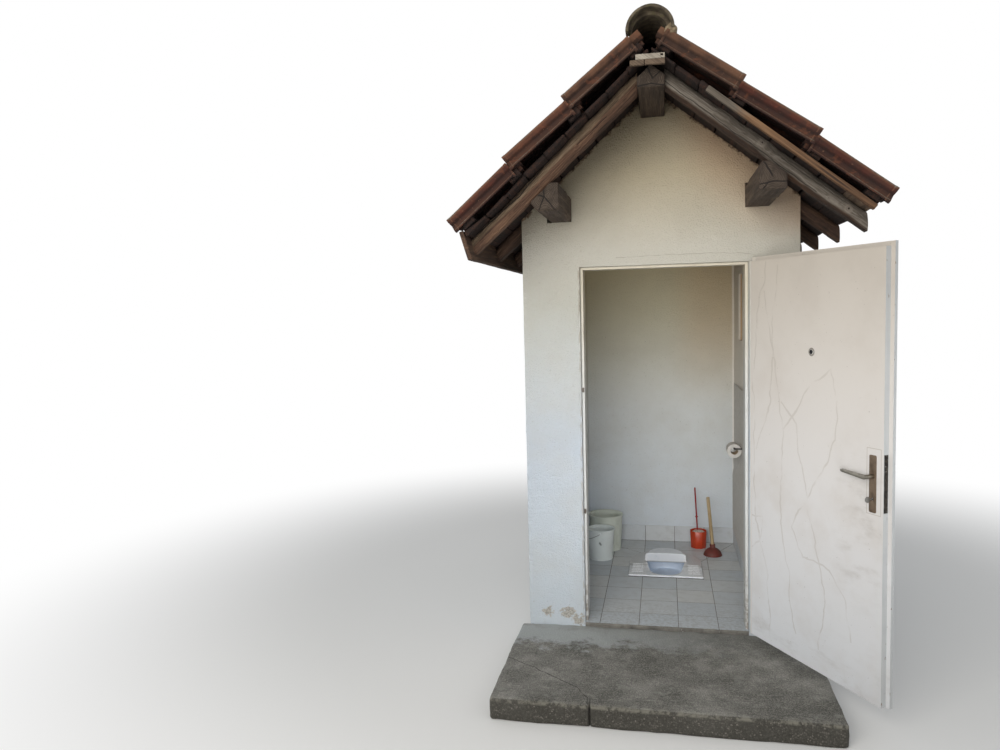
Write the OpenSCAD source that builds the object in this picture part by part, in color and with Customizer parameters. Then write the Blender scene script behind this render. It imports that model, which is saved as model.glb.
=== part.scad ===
/* [House] */
// Width of the masonry across the front
house_w = 1346; // [1200:2:1600]
// Depth of the masonry from front face to back face
house_d = 1720; // [1500:10:2400]
// Thickness of the plastered masonry walls
wall_t = 175; // [120:5:220]
// Height of the tiled floor above the ground
floor_z = 115; // [90:5:200]
// Thickness of the floor tiles
tile_t = 10; // [6:1:15]
// Height of the tiled skirting
skirt_h = 108; // [60:2:150]
// Thickness of the skirting tiles
skirt_t = 9; // [6:1:12]

/* [Step] */
// Width of the concrete step
step_w = 1444; // [1346:2:1700]
// Offset of the step from the house's middle
step_x = 7; // [-60:1:60]
// How far the step reaches in front of the wall
step_d = 838; // [500:2:1100]
// Drop from the floor to the top of the step
step_drop = 18; // [10:1:40]
// Worn bevel along the front edge of the step
step_bevel = 9; // [4:1:20]

/* [Doorway] */
// Distance from the house's middle to the doorway's left plaster edge
door_left = 383; // [340:1:400]
// Distance from the house's middle to the doorway's right plaster edge
door_right = 437; // [400:1:445]
// Height of the doorway above the floor
door_h = 1843; // [1780:1:1900]
// Depth from the front plaster to the frame
frame_setback = 26; // [24:1:40]
// Depth of the frame along the wall's thickness
frame_d = 100; // [60:5:110]
// Width of a frame member
frame_w = 42; // [36:1:60]
// Width of frame that shows inside the plaster edge
frame_show = 14; // [8:1:20]

/* [Door] */
// How far the door stands open, in degrees
door_open = 121.6; // [90:0.2:140]
// Thickness of the leaf between its rebate and its inner face
leaf_body_t = 25; // [20:1:30]
// Thickness of the lip that laps over the plaster
leaf_lip_t = 14; // [12:1:18]
// How far the lip laps past the body of the leaf
lip = 19; // [12:1:25]
// Gap round the body of the leaf
door_gap = 6; // [5:0.5:8]
// Gap between the lip and the plaster
lip_gap = 5; // [5:0.5:8]
// Gap under the leaf, above the floor
door_under = 20; // [10:1:40]

/* [Hinges] */
// Number of hinges
hinge_count = 3; // [2:1:4]
// Radius of the knuckles
knuckle_r = 7.5; // [7:0.5:10]
// Length of one knuckle
knuckle_l = 44; // [30:2:60]
// Radius of the hinge pin
pin_r = 4; // [3:0.5:4.5]
// Running clearance of the pin in the upper knuckle
pin_clear = 0.08; // [0.03:0.01:0.1]
// Distance from the ends of the leaf to the nearest hinge's middle
hinge_in = 200; // [150:10:300]
// Radius of the shanks that are driven into the frame and the leaf
shank_r = 3; // [2:0.5:3.5]
// Length of the shanks in the leaf
shank_l = 50; // [40:1:60]

/* [Door furniture] */
// Distance from the free edge of the leaf's body to the spindle
backset = 52; // [45:1:60]
// Height of the spindle above the floor
spindle_h = 943; // [900:1:1050]
// Distance from the spindle down to the keyhole
key_drop = 92; // [72:1:100]
// Length of the handle plates
plate_h = 230; // [210:1:260]
// Width of the handle plates
plate_w = 35; // [28:1:40]
// Thickness of the handle plates
plate_t = 2.5; // [1.5:0.5:4]
// Distance from the spindle up to the top of the handle plates
plate_up = 84; // [60:1:100]
// Radius of the round boss of a lever
boss_r = 8.5; // [7:0.5:12]
// Distance from the handle plate to the middle of a lever
lever_out = 42; // [35:1:60]
// Length of a lever from the spindle to its tip
lever_l = 122; // [100:1:135]
// Thickness of a lever, measured away from the door
lever_t = 10; // [7:1:14]
// Rise of a lever towards its tip, in degrees
lever_rise = 4; // [0:0.5:8]
// Radius of the spindle
spindle_r = 4.5; // [3.5:0.5:5]
// Height of the spyhole above the floor
spyhole_h = 1420; // [1350:5:1500]
// Distance from the hinge edge of the leaf's body to the spyhole
spyhole_x = 412; // [380:1:440]
// Radius of the spyhole's barrel
spyhole_r = 7; // [5:0.5:9]
// Thickness of the lock's case
case_t = 14; // [10:1:18]
// Width of the plate on the edge of the leaf
face_w = 20; // [16:1:24]
// Thickness of that plate
face_t = 3; // [2:0.5:4]
// Radius of the key's bow
bow_r = 12; // [8:1:15]

/* [Window] */
// Width of the window in the right wall
window_w = 220; // [180:5:300]
// Height of the window
window_h = 415; // [300:5:500]
// Height of the window's sill above the floor
window_sill = 1416; // [1300:2:1450]
// Distance from the front face to the near side of the window
window_y = 980; // [600:5:1100]
// Distance from the inner plaster to the window's frame
window_set = 45; // [20:1:60]
// Width of the members of the window's frame
sash_w = 30; // [24:1:45]
// Depth of the window's frame
sash_t = 50; // [30:2:70]
// Thickness of the pane
pane_t = 4; // [3:1:6]

/* [Roof frame] */
// Pitch of the left slope, in degrees
pitch_left = 42.3; // [38:0.1:44]
// Pitch of the right slope, in degrees
pitch_right = 38.6; // [36:0.1:44]
// Offset of the ridge from the house's middle
ridge_x = -13; // [-30:1:30]
// Distance from the doorway's head up to where the undersides of the boards meet
apex_rise = 850; // [780:1:950]
// Width of the ridge purlin
ridge_w = 115; // [90:1:140]
// Distance from the apex down to the top of the ridge purlin
ridge_drop = 42; // [30:1:50]
// Distance from the apex down to the underside of the ridge purlin
ridge_h = 136; // [110:1:160]
// How far the ridge purlin reaches in front of the wall
ridge_out = 535; // [450:5:545]
// Width of the left purlin
left_w = 125; // [100:1:140]
// Height of the left purlin
left_h = 119; // [105:1:125]
// Height of the left purlin's underside above the doorway's head
left_rise = 227; // [200:1:237]
// Distance from the house's middle to the left purlin's inner face
left_x = 418; // [400:1:430]
// How far the left purlin reaches in front of the wall
left_out = 495; // [430:5:560]
// Width of the right purlin
right_w = 113; // [100:1:130]
// Height of the right purlin
right_h = 117; // [105:1:125]
// Height of the right purlin's underside above the doorway's head
right_rise = 257; // [230:1:267]
// Distance from the house's middle to the right purlin's inner face
right_x = 421; // [405:1:430]
// How far the right purlin reaches in front of the wall
right_out = 560; // [430:5:560]
// Diameter of the rafter poles
pole_d = 77; // [60:1:80]
// Depth hewn flat off the top and the underside of a pole
hewn = 2; // [1:0.5:4]
// How far the middles of the outermost poles stand in front of the wall
pole_out = 460; // [430:5:470]
// Distance from a gable's face to the middles of the poles that lie in it
pole_in = 68; // [60:1:110]
// Number of pairs of poles
pole_count = 6; // [4:1:8]
// Length of the left poles down the slope
pole_l_left = 1094; // [1060:1:1110]
// Length of the right poles down the slope
pole_l_right = 1113; // [1070:1:1120]

/* [Roof covering] */
// Thickness of the boards
board_t = 24; // [18:1:30]
// Number of boards on a slope
board_count = 9; // [7:1:12]
// Gap between the boards
board_gap = 4; // [2:1:10]
// How far the boards reach in front of the wall
board_out = 595; // [580:5:600]
// Height of the tile battens
batten_h = 33; // [24:1:36]
// Width of the tile battens
batten_w = 60; // [50:1:60]
// How far the tiles reach in front of the wall
tile_out = 615; // [615:1:640]
// Number of tiles across a course
tile_count = 14; // [10:1:18]
// Length of a tile
tile_l = 405; // [400:1:430]
// Length of each left tile that stays in view
gauge_left = 356; // [335:1:360]
// Length of each right tile that stays in view
gauge_right = 375; // [345:1:380]
// Distance from the underside of a tile to the underside of the tile that lies on it
tile_step = 26; // [22:1:30]
// Height of the rolls of a tile above its pans
tile_roll = 17; // [10:1:22]
// Distance from the apex down the slope to the lower ends of the upper tiles
first_course = 388; // [380:1:400]
// Distance from the head of a tile to the batten that carries it
head_lap = 32; // [20:1:40]
// Distance from the lower ends of the lowest tiles up to the batten under them
foot_lap = 92; // [80:1:110]
// Width of the nibs that hook a tile over its batten
nib_w = 26; // [18:1:34]
// Depth of the nibs under a tile
nib_h = 20; // [10:1:24]
// Thickness of the nibs along a tile
nib_t = 22; // [12:1:26]
// Angle between the lowest tiles and their slope, in degrees
foot_tip = 1.5; // [0:0.1:3]
// Depth of the flange along a verge tile, below the tops of its rolls
flange_h = 65; // [50:1:66]
// Thickness of the flanges
flange_t = 13; // [8:1:13]
// Gap between the ends of two flanges that follow each other
flange_gap = 3; // [2:1:8]

/* [Ridge tiles] */
// Outer radius of a ridge tile
ridge_r = 87; // [85:1:100]
// Wall of a ridge tile
ridge_t = 13; // [10:1:16]
// Outer radius of the collar of a ridge tile
collar_r = 99; // [95:1:115]
// Length of the collar that takes in the tail of the next tile
collar_l = 55; // [40:1:70]
// Height of the straight legs under the round of a ridge tile
ridge_leg = 2; // [1:1:40]
// Number of ridge tiles
ridge_count = 7; // [5:1:9]
// How far the ridge tiles reach past the other tiles
ridge_past = 10; // [5:1:60]

/* [Roof edges] */
// Height of the eave board
eave_h = 131; // [100:1:160]
// Rise of the eave board above the ends of the poles
eave_rise = 32; // [15:1:40]
// Thickness of the eave board
eave_t = 20; // [15:1:25]
// Lean of the eave board, in degrees
eave_lean = 17; // [10:1:25]
// Width and depth of the lath along the right verge
verge_w = 24; // [18:1:30]
// Distance from the apex down the slope to the upper end of the verge lath
verge_from = 290; // [200:5:350]
// Distance from the apex down the slope to the upper edges of the highest boards
board_from = 3; // [2:1:10]
// Thickness of the sticks that are nailed across the boards' front ends under the ridge tiles
stick_t = 16; // [10:1:20]
// Height of those sticks
stick_h = 22; // [14:1:24]
// Distance from the apex down to the undersides of the lower sticks
stick_drop = 67; // [60:1:70]

/* [Squat pan] */
// Width of the pan
pan_w = 446; // [420:2:500]
// Length of the pan
pan_l = 520; // [500:5:620]
// Distance from the front face to the pan's straight edge
pan_y = 758; // [650:1:800]
// Offset of the pan from the house's middle
pan_x = 30; // [-20:1:40]
// Height of the pan's rim above the floor
pan_rim = 12; // [8:1:20]
// Wall of the pan
pan_t = 10; // [8:1:14]
// Depth of the bowl below the rim
bowl_d = 88; // [60:2:92]
// Width of the bowl at its front end
bowl_front_w = 190; // [160:2:200]
// Width of the bowl at its back end
bowl_back_w = 238; // [210:2:250]
// Distance from the pan's straight edge to the bowl
bowl_in = 16; // [14:1:40]
// Length of the bowl
bowl_l = 400; // [360:5:420]
// Height of the hood above the rim
hood_h = 52; // [30:1:60]
// Distance from the pan's straight edge to the front of the hood
hood_in = 280; // [260:5:290]
// Radius of the hood's upper corners
hood_r = 24; // [15:1:28]
// How far the hood's front dips into the bowl
hood_dip = 5; // [2:1:10]
// Number of ribs on each footrest
rib_count = 6; // [4:1:6]
// Distance from the pan's straight edge to the first rib
rib_in = 60; // [30:5:70]
// Length of a rib
rib_l = 64; // [40:2:80]
// Width of a rib
rib_w = 12; // [6:1:16]
// Height of the ribs on the footrests
rib_h = 4; // [2:0.5:6]
// Distance between the ribs on the footrests
rib_pitch = 30; // [20:1:40]

/* [Pails] */
// Outer radius of the small pail's mouth
small_r = 92; // [80:1:96]
// Outer radius of the small pail's bottom
small_base_r = 75; // [65:1:80]
// Height of the small pail
small_h = 200; // [160:1:230]
// Outer radius of the large pail's mouth
large_r = 116; // [105:1:118]
// Outer radius of the large pail's bottom
large_base_r = 100; // [90:1:104]
// Height of the large pail
large_h = 240; // [200:1:290]
// Wall of both pails
pail_t = 3; // [2:0.5:4]
// Depth of the rims turned out round the pails' mouths
pail_rim = 8; // [5:1:12]
// Distance from the rear wall to the middle of the small pail
small_back = 445; // [380:5:470]
// Distance from the rear wall to the middle of the large pail
large_back = 215; // [150:5:230]
// Distance from the left skirting to the small pail
small_side = 12; // [5:1:60]
// Distance from the left skirting to the large pail
large_side = 5; // [3:1:60]

/* [Brush and plunger] */
// Width of the brush holder across its corners
holder_w = 116; // [100:1:125]
// Height of the brush holder
holder_h = 115; // [90:1:140]
// Wall of the brush holder
holder_t = 3; // [2:0.5:4]
// Distance from the right wall to the middle of the brush holder
holder_side = 248; // [220:2:400]
// Distance from the rear wall to the middle of the brush holder
holder_back = 122; // [80:2:150]
// Length of the brush's rod
brush_l = 408; // [350:2:450]
// Lean of the brush's rod, in degrees
brush_lean = 3; // [0:0.5:4]
// Radius of the brush's rod
rod_r = 5; // [4:0.5:7]
// Radius of the brush
bristle_r = 36; // [25:1:38]
// Height of the brush itself
bristle_h = 100; // [70:5:105]
// Radius of the plunger's cup
cup_r = 60; // [50:1:62]
// Height of the plunger's cup
cup_h = 52; // [40:1:60]
// Length of the plunger's handle
plunger_l = 335; // [300:1:380]
// Radius of the plunger's handle
plunger_r = 11; // [9:0.5:14]
// Lean of the plunger's handle, in degrees
plunger_lean = 5; // [0:0.5:8]
// Distance from the right wall to the middle of the plunger
plunger_side = 163; // [90:1:170]
// Distance from the rear wall to the middle of the plunger
plunger_back = 295; // [280:5:500]
// Wall of the plunger's cup
cup_t = 6; // [4:0.5:8]

/* [Paper roll] */
// Outer radius of the roll
roll_r = 43; // [35:1:50]
// Length of the roll
roll_l = 95; // [80:1:110]
// Radius of the roll's core
core_r = 21; // [16:1:24]
// Height of the roll's hook above the floor
hook_h = 765; // [700:5:850]
// Distance from the front face to the roll's near end
roll_y = 930; // [850:5:960]
// Gap between the roll and the wall
roll_gap = 8; // [5:1:20]
// Radius of the hook's rod
hook_r = 5; // [3:0.5:6]
// Width of the hook's wall plate
hook_plate_w = 18; // [12:1:30]
// Height of the hook's wall plate
hook_plate_h = 100; // [60:5:120]
// Thickness of the hook's wall plate
hook_plate_t = 5; // [3:0.5:8]

/* [Hidden] */
$fn = 48;
// Clearance between pieces that seat on each other
seat = 0.3;
// Extra length of a cutting shape past the face that it cuts
cut = 5;
front_y = -house_d / 2;
back_y = house_d / 2;
half_w = house_w / 2;
inner_x = half_w - wall_t;
rear_y = back_y - wall_t;
head_z = floor_z + door_h;
apex_z = head_z + apex_rise;
left_z = head_z + left_rise;
right_z = head_z + right_rise;
step_z = floor_z - step_drop;
base_z = floor_z - tile_t;
frame_y = front_y + frame_setback;
frame_in = frame_w - frame_show;
pole_r = pole_d / 2;
pole_h = pole_d - 2 * hewn;
first_pole_y = front_y - pole_out;
gable_pole_y = front_y + pole_in;
roof_l = house_d + 2 * board_out;
batten_top = board_t + batten_h;
tile_t_roof = tile_step - seat;
tile_w = (house_d + 2 * tile_out) / tile_count;
leaf_left = -door_left + door_gap;
leaf_right = door_right - door_gap;
leaf_z = floor_z + door_under;
leaf_h = head_z - door_gap - leaf_z;
lip_y = front_y - lip_gap;
outer_y = lip_y - leaf_lip_t;
inner_y = lip_y + leaf_body_t;
pin_x = leaf_right + lip + knuckle_r + 1;
pin_y = outer_y - 3;
hinge_step = (leaf_h - 2 * hinge_in) / (hinge_count - 1);
spindle_x = leaf_left + backset;
spindle_z = floor_z + spindle_h;
key_z = spindle_z - key_drop;
plate_low = spindle_z + plate_up - plate_h;
pan_low = base_z + pan_rim + tile_t - bowl_d - pan_t;
hook_x = inner_x - roll_r - roll_gap;
hook_z = floor_z + hook_h;

// A level box given by its lowest and highest corners
module block(low, high) {
    translate(low) cube(high - low);
}

// A shape of the XZ plane, given a depth along Y from y to y + depth
module across(y, depth) {
    translate([0, y + depth, 0])
        rotate([90, 0, 0])
            linear_extrude(depth)
                children();
}

function side(left) = left ? -1 : 1;
function pitch(left) = left ? pitch_left : pitch_right;
function pole_l(left) = left ? pole_l_left : pole_l_right;
function gauge(left) = left ? gauge_left : gauge_right;
// Height at x of the plane that lies w above the undersides of the boards
function slope_z(left, x, w) = apex_z - abs(x - ridge_x) * tan(pitch(left)) + w / cos(pitch(left));
// Place across the house where that plane is at height z
function slope_x(left, z, w) = ridge_x + side(left) * ((apex_z - z) * cos(pitch(left)) + w) / sin(pitch(left));

// Places children on a slope: X runs down it from the apex and Z stands off the undersides of its boards
module on_slope(left) {
    translate([ridge_x, 0, apex_z])
        mirror([left ? 1 : 0, 0, 0])
            rotate([0, pitch(left), 0])
                children();
}

module front_step() {
    front = front_y - step_d;
    color("dimgray")
        translate([step_x - step_w / 2, 0, 0])
            rotate([90, 0, 90])
                linear_extrude(step_w)
                    polygon([[front, 0], [front_y, 0], [front_y, step_z],
                        [front + step_bevel, step_z], [front, step_z - step_bevel]]);
}

// Plan of the floor: the room, and the passage through the front wall
module floor_plan(low, high) {
    block([-inner_x, front_y + wall_t, low], [inner_x, rear_y, high]);
    block([-door_left, front_y, low], [door_right, front_y + wall_t + 1, high]);
}

module floor_base() {
    color("gray")
        difference() {
            floor_plan(0, base_z);
            on_pan(pan_low - seat) linear_extrude(base_z) well_outline(pan_t + seat);
        }
}

module floor_tiles() {
    color("lightgray")
        difference() {
            floor_plan(base_z, floor_z);
            on_pan(base_z - cut) linear_extrude(tile_t + 2 * cut) pan_outline(seat);
        }
}

// The wall beside the doorway takes the frame in a groove behind its front plaster
module pier(near, far) {
    s = sign(near);
    difference() {
        block([min(near, far), front_y, 0], [max(near, far), front_y + wall_t, head_z]);
        block([min(near - s, near + s * frame_in), frame_y, floor_z],
            [max(near - s, near + s * frame_in), frame_y + frame_d, head_z + 1]);
        frame_shanks(shank_r + seat);
    }
}

module front_wall_left() {
    color("whitesmoke") pier(-door_left, -half_w);
}

module front_wall_right() {
    color("whitesmoke") pier(door_right, half_w);
}

// Outline of a gable wall from height low up to the boards, with the purlins' holes
module gable_outline(low) {
    difference() {
        polygon([[-half_w, low], [half_w, low], [half_w, slope_z(false, half_w, 0)],
            [ridge_x, apex_z], [-half_w, slope_z(true, -half_w, 0)]]);
        ridge_section();
        side_section(true);
        side_section(false);
    }
}

// Place along the house of the middles of the poles of pair i: one pair past each gable, one in each
// gable, and the others spaced evenly between
function pole_y(i) =
    i == 0 ? first_pole_y
    : i == pole_count - 1 ? -first_pole_y
    : gable_pole_y * (1 - 2 * (i - 1) / (pole_count - 3));

// Room in the masonry for a pair of poles, their middles at y
module pole_pockets(y) {
    for (left = [true, false])
        on_slope(left)
            block([ridge_w / 2, y - pole_r - seat, -pole_h - seat], [pole_l(left), y + pole_r + seat, pole_h]);
}

module front_gable() {
    color("whitesmoke")
        difference() {
            across(front_y, wall_t) gable_outline(head_z);
            block([-door_left - frame_in, frame_y, head_z - 1],
                [door_right + frame_in, frame_y + frame_d, head_z + frame_in]);
            pole_pockets(pole_y(1));
        }
}

module rear_wall() {
    color("whitesmoke")
        difference() {
            across(rear_y, wall_t) gable_outline(0);
            pole_pockets(pole_y(pole_count - 2));
        }
}

// A side wall runs up to the boards between the poles, and its inner edge is cut down for the purlin
module side_wall(left) {
    s = side(left);
    ledge_x = s * (left ? left_x + left_w : right_x + right_w);
    ledge_z = left ? left_z : right_z;
    difference() {
        across(front_y + wall_t, house_d - 2 * wall_t)
            polygon([[s * inner_x, 0], [s * half_w, 0], [s * half_w, slope_z(left, s * half_w, 0)],
                [ledge_x, slope_z(left, ledge_x, 0)], [ledge_x, ledge_z], [s * inner_x, ledge_z]]);
        for (i = [1 : pole_count - 2])
            pole_pockets(pole_y(i));
    }
}

module left_wall() {
    color("whitesmoke") side_wall(true);
}

module right_wall() {
    color("whitesmoke")
        difference() {
            side_wall(false);
            block([inner_x - cut, front_y + window_y, floor_z + window_sill],
                [half_w + cut, front_y + window_y + window_w, floor_z + window_sill + window_h]);
        }
}

module skirting() {
    from = front_y + wall_t;
    color("lightgray") {
        block([-inner_x, rear_y - skirt_t, floor_z], [inner_x, rear_y, floor_z + skirt_h]);
        for (x = [-inner_x, inner_x - skirt_t])
            block([x, from, floor_z], [x + skirt_t, rear_y - skirt_t - seat, floor_z + skirt_h]);
    }
}

module door_frame() {
    color("ivory")
        difference() {
            block([-door_left - frame_in, frame_y, floor_z],
                [door_right + frame_in, frame_y + frame_d, head_z + frame_in]);
            block([-door_left + frame_show, frame_y - cut, floor_z - cut],
                [door_right - frame_show, frame_y + frame_d + cut, head_z - frame_show]);
            frame_shanks(shank_r + seat);
        }
}

module window_frame() {
    x = inner_x + window_set;
    y = front_y + window_y;
    z = floor_z + window_sill;
    color("saddlebrown")
        difference() {
            block([x, y, z], [x + sash_t, y + window_w, z + window_h]);
            block([x - cut, y + sash_w, z + sash_w], [x + sash_t + cut, y + window_w - sash_w, z + window_h - sash_w]);
        }
}

module window_pane() {
    x = inner_x + window_set + (sash_t - pane_t) / 2;
    y = front_y + window_y + sash_w;
    z = floor_z + window_sill + sash_w;
    color("lightblue")
        block([x, y, z], [x + pane_t, y + window_w - 2 * sash_w, z + window_h - 2 * sash_w]);
}

// Section of the ridge purlin, bevelled along both slopes
module ridge_section() {
    low = apex_z - ridge_h;
    near = ridge_x - ridge_w / 2;
    far = ridge_x + ridge_w / 2;
    polygon([[near, low], [far, low], [far, slope_z(false, far, 0) - ridge_drop], [ridge_x, apex_z - ridge_drop],
        [near, slope_z(true, near, 0) - ridge_drop]]);
}

// Section of a side purlin, bevelled along its outer top edge where the poles lie on it
module side_section(left) {
    near = side(left) * (left ? left_x : right_x);
    far = near + side(left) * (left ? left_w : right_w);
    low = left ? left_z : right_z;
    top = low + (left ? left_h : right_h);
    w = -pole_h - seat;
    polygon([[near, low], [far, low], [far, slope_z(left, far, w)], [slope_x(left, top, w), top], [near, top]]);
}

module ridge_purlin() {
    color("dimgray")
        across(front_y - ridge_out, house_d + 2 * ridge_out) ridge_section();
}

module left_purlin() {
    color("dimgray")
        across(front_y - left_out, house_d + 2 * left_out) side_section(true);
}

module right_purlin() {
    color("dimgray")
        across(front_y - right_out, house_d + 2 * right_out) side_section(false);
}

// The plane in which the poles of a slope end, as a half space beyond them
module past_eave(left) {
    translate([pole_l(left), 0, 0])
        rotate([0, (left ? eave_lean : 0) - pitch(left), 0])
            translate([0, -house_d, -2 * pole_l(left)])
                cube([pole_l(left), 2 * house_d, 4 * pole_l(left)]);
}

// A pole hewn flat above and below, cut plumb against the ridge purlin
module pole(left, y) {
    difference() {
        on_slope(left)
            difference() {
                intersection() {
                    translate([0, y, -pole_h / 2]) rotate([0, 90, 0]) cylinder(r = pole_r, h = pole_l(left) + pole_d);
                    block([0, y - pole_r, -pole_h], [pole_l(left) + pole_d, y + pole_r, 0]);
                }
                past_eave(left);
            }
        block([ridge_x - ridge_w / 2 - seat, y - pole_d, apex_z - 2 * ridge_h],
            [ridge_x + ridge_w / 2 + seat, y + pole_d, apex_z + ridge_h]);
    }
}

module front_rafters() {
    color("rosybrown")
        for (left = [true, false])
            pole(left, pole_y(0));
}

module inner_rafters() {
    color("rosybrown")
        for (left = [true, false])
            for (i = [1 : pole_count - 1])
                pole(left, pole_y(i));
}

// Length of boarding on a slope: the eave board leans over the left boards' ends
function boarding_l(left) = pole_l(left) - (left ? board_t * tan(pitch_left - eave_lean) + seat : 0);

module boards(left) {
    wide = (boarding_l(left) - board_from - (board_count - 1) * board_gap) / board_count;
    on_slope(left)
        for (i = [0 : board_count - 1])
            translate([board_from + i * (wide + board_gap), front_y - board_out, seat])
                cube([wide, roof_l, board_t - seat]);
}

module left_boards() {
    color("saddlebrown") boards(true);
}

module right_boards() {
    color("saddlebrown") boards(false);
}

// Distance from the apex down the slope to the lower ends of course i
function course_end(left, i) = first_course + i * gauge(left);
// Angle between course i and its slope: the upper two lie on the heads of the next course down
function tile_tip(left, i) = i < 2 ? asin(tile_step / gauge(left)) : foot_tip;
// Level of the heads of all tiles, on top of their pans, above the undersides of the boards
function head_top(left) =
    let (tip = tile_tip(left, 0))
    batten_top + seat + tile_t_roof / cos(tip) + (tile_l - head_lap) * tan(tip) - tile_l * sin(tip);
// That level at the lower ends of course i
function tile_top(left, i) = head_top(left) + tile_l * sin(tile_tip(left, i));
// Level of the undersides of course i at a distance up the slope from its lower ends
function tile_under(left, i, up) =
    tile_top(left, i) - tile_t_roof / cos(tile_tip(left, i)) - up * tan(tile_tip(left, i));

// A batten lies under the head of each course, and a higher one under the feet of the lowest
module battens() {
    color("peru")
        for (left = [true, false])
            on_slope(left)
                // Course, and distance from its lower ends up to the batten's upper edge
                for (b = [[0, tile_l - head_lap], [1, tile_l - head_lap], [2, tile_l - head_lap], [2, foot_lap]])
                    translate([course_end(left, b[0]) - b[1], front_y - board_out, board_t + seat])
                        cube([batten_w, roof_l, tile_under(left, b[0], b[1]) - board_t - 2 * seat]);
}

// Section of a course from its rear end forwards: every tile has a roll at both edges and a rib in its middle
module course_section() {
    roll = [[0, 1], [0.1, 1], [0.18, 0], [0.42, 0], [0.48, 0.55], [0.56, 0.55], [0.62, 0], [0.86, 0], [0.94, 1]];
    top = [for (i = [0 : tile_count - 1]) for (p = roll) [back_y + tile_out - (i + p[0]) * tile_w, p[1] * tile_roll]];
    last = [front_y - tile_out, tile_roll];
    under = [for (k = [len(top) - 1 : -1 : 0]) top[k] - [0, tile_t_roof]];
    polygon(concat(top, [last, last - [0, tile_t_roof]], under));
}

// Two nibs under the head of every tile hook over the upper edge of the batten
module nibs(tip) {
    to = tile_l - (tile_l - head_lap + seat + (tile_t_roof + nib_h) * sin(tip)) / cos(tip);
    for (i = [0 : tile_count - 1])
        for (p = [0.3, 0.74])
            translate([to - nib_t, back_y + tile_out - (i + p) * tile_w - nib_w / 2, -tile_t_roof - nib_h])
                cube([nib_t, nib_w, nib_h + 1]);
}

// Blocks along both verges, between two places down the slope and between two levels, each from past the
// edge to in from it
module at_verges(places, levels, past, in) {
    edge = back_y + tile_out;
    for (y = [-edge - past, edge - in])
        translate([places[0], y, levels[0]])
            cube([places[1] - places[0], past + in, levels[1] - levels[0]]);
}

// A flange hangs down along the outer edge of every verge tile, as far as the tile shows, and its head is
// notched for the flange above it
module course(left, i) {
    tip = tile_tip(left, i);
    hidden = tile_l - gauge(left) + flange_gap + flange_h * sin(tile_tip(left, 0));
    on_slope(left)
        translate([course_end(left, i), 0, tile_top(left, i)])
            rotate([0, -tip, 0])
                translate([-tile_l, 0, 0]) {
                    difference() {
                        rotate([90, 0, 90]) linear_extrude(tile_l) course_section();
                        at_verges([-cut, hidden - 1], [-flange_h, flange_h], cut, flange_t + flange_gap);
                    }
                    at_verges([hidden, tile_l], [tile_roll - flange_h, 0], 0, flange_t);
                    nibs(tip);
                }
}

module left_upper_tiles() {
    color("firebrick") course(true, 0);
}

module left_middle_tiles() {
    color("firebrick") course(true, 1);
}

module left_lower_tiles() {
    color("firebrick") course(true, 2);
}

module right_upper_tiles() {
    color("firebrick") course(false, 0);
}

module right_middle_tiles() {
    color("firebrick") course(false, 1);
}

module right_lower_tiles() {
    color("firebrick") course(false, 2);
}

// Height of the rolls of the upper tiles at a distance x from the ridge
function roll_z(left, x) =
    let (p = pitch(left), tip = tile_tip(left, 0))
    let (w = tile_top(left, 0) + tile_roll / cos(tip) - first_course * tan(tip))
    let (u = (x - w * sin(p)) / (cos(p) + tan(tip) * sin(p)))
    apex_z - u * sin(p) + (w + u * tan(tip)) * cos(p);

// Section of a ridge tile between two radii: a half round on straight legs
module ridge_ring(inner, outer) {
    low = max(roll_z(true, ridge_r - ridge_t), roll_z(false, ridge_r - ridge_t)) + seat;
    translate([ridge_x, low + ridge_leg])
        difference() {
            union() {
                circle(outer);
                translate([-outer, -ridge_leg]) square([2 * outer, ridge_leg]);
            }
            circle(inner);
            translate([-inner, -2 * outer]) square([2 * inner, 2 * outer]);
            translate([-2 * outer, -ridge_leg - 2 * outer]) square([4 * outer, 2 * outer]);
        }
}

// The collar of each ridge tile laps over the tail of the one in front of it
module ridge_tiles() {
    from = front_y - tile_out - ridge_past;
    cover = (-2 * from - collar_l) / ridge_count;
    color("rosybrown")
        for (i = [0 : ridge_count - 1]) {
            across(from + i * cover, collar_l) ridge_ring(ridge_r + seat, collar_r);
            across(from + i * cover + collar_l, ridge_t) ridge_ring(ridge_r - ridge_t, collar_r);
            across(from + i * cover + collar_l, cover - seat) ridge_ring(ridge_r - ridge_t, ridge_r);
        }
}

// The eave board is nailed to the leaning ends of the left poles
module eave_board() {
    color("saddlebrown")
        on_slope(true)
            translate([pole_l_left + seat, front_y - board_out, 0])
                rotate([0, eave_lean - pitch_left, 0])
                    translate([0, 0, eave_rise - eave_h])
                        cube([eave_t, roof_l, eave_h]);
}

// A lath is nailed across the ends of the right boards, at the front and at the back, and three short
// sticks across the front ends of the highest boards
module roof_laths() {
    color("peru") {
        on_slope(false)
            for (y = [front_y - board_out - seat - verge_w, back_y + board_out + seat])
                translate([verge_from, y, -verge_w / 2])
                    cube([boarding_l(false) - verge_from, verge_w, verge_w]);
        // Ends of each stick from the ridge's middle, and its layer
        for (s = [[-60, 60, 1], [-22, 60, 0], [-83, -25, 0]])
            translate([ridge_x + s[0], front_y - board_out - seat - stick_t, apex_z - stick_drop])
                translate([0, 0, s[2] * (stick_h + seat)])
                    cube([s[1] - s[0], stick_t, stick_h]);
    }
}

// Puts the middle of the pan's straight edge at the origin, at height z
module on_pan(z) {
    translate([pan_x, front_y + pan_y, z]) children();
}

// Plan of the pan: straight in front and round behind
module pan_outline(c) {
    r = pan_w / 2;
    translate([0, pan_l - r]) circle(r + c, $fn = 64);
    translate([-r - c, -c]) square([2 * r + 2 * c, pan_l - r + c]);
}

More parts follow.
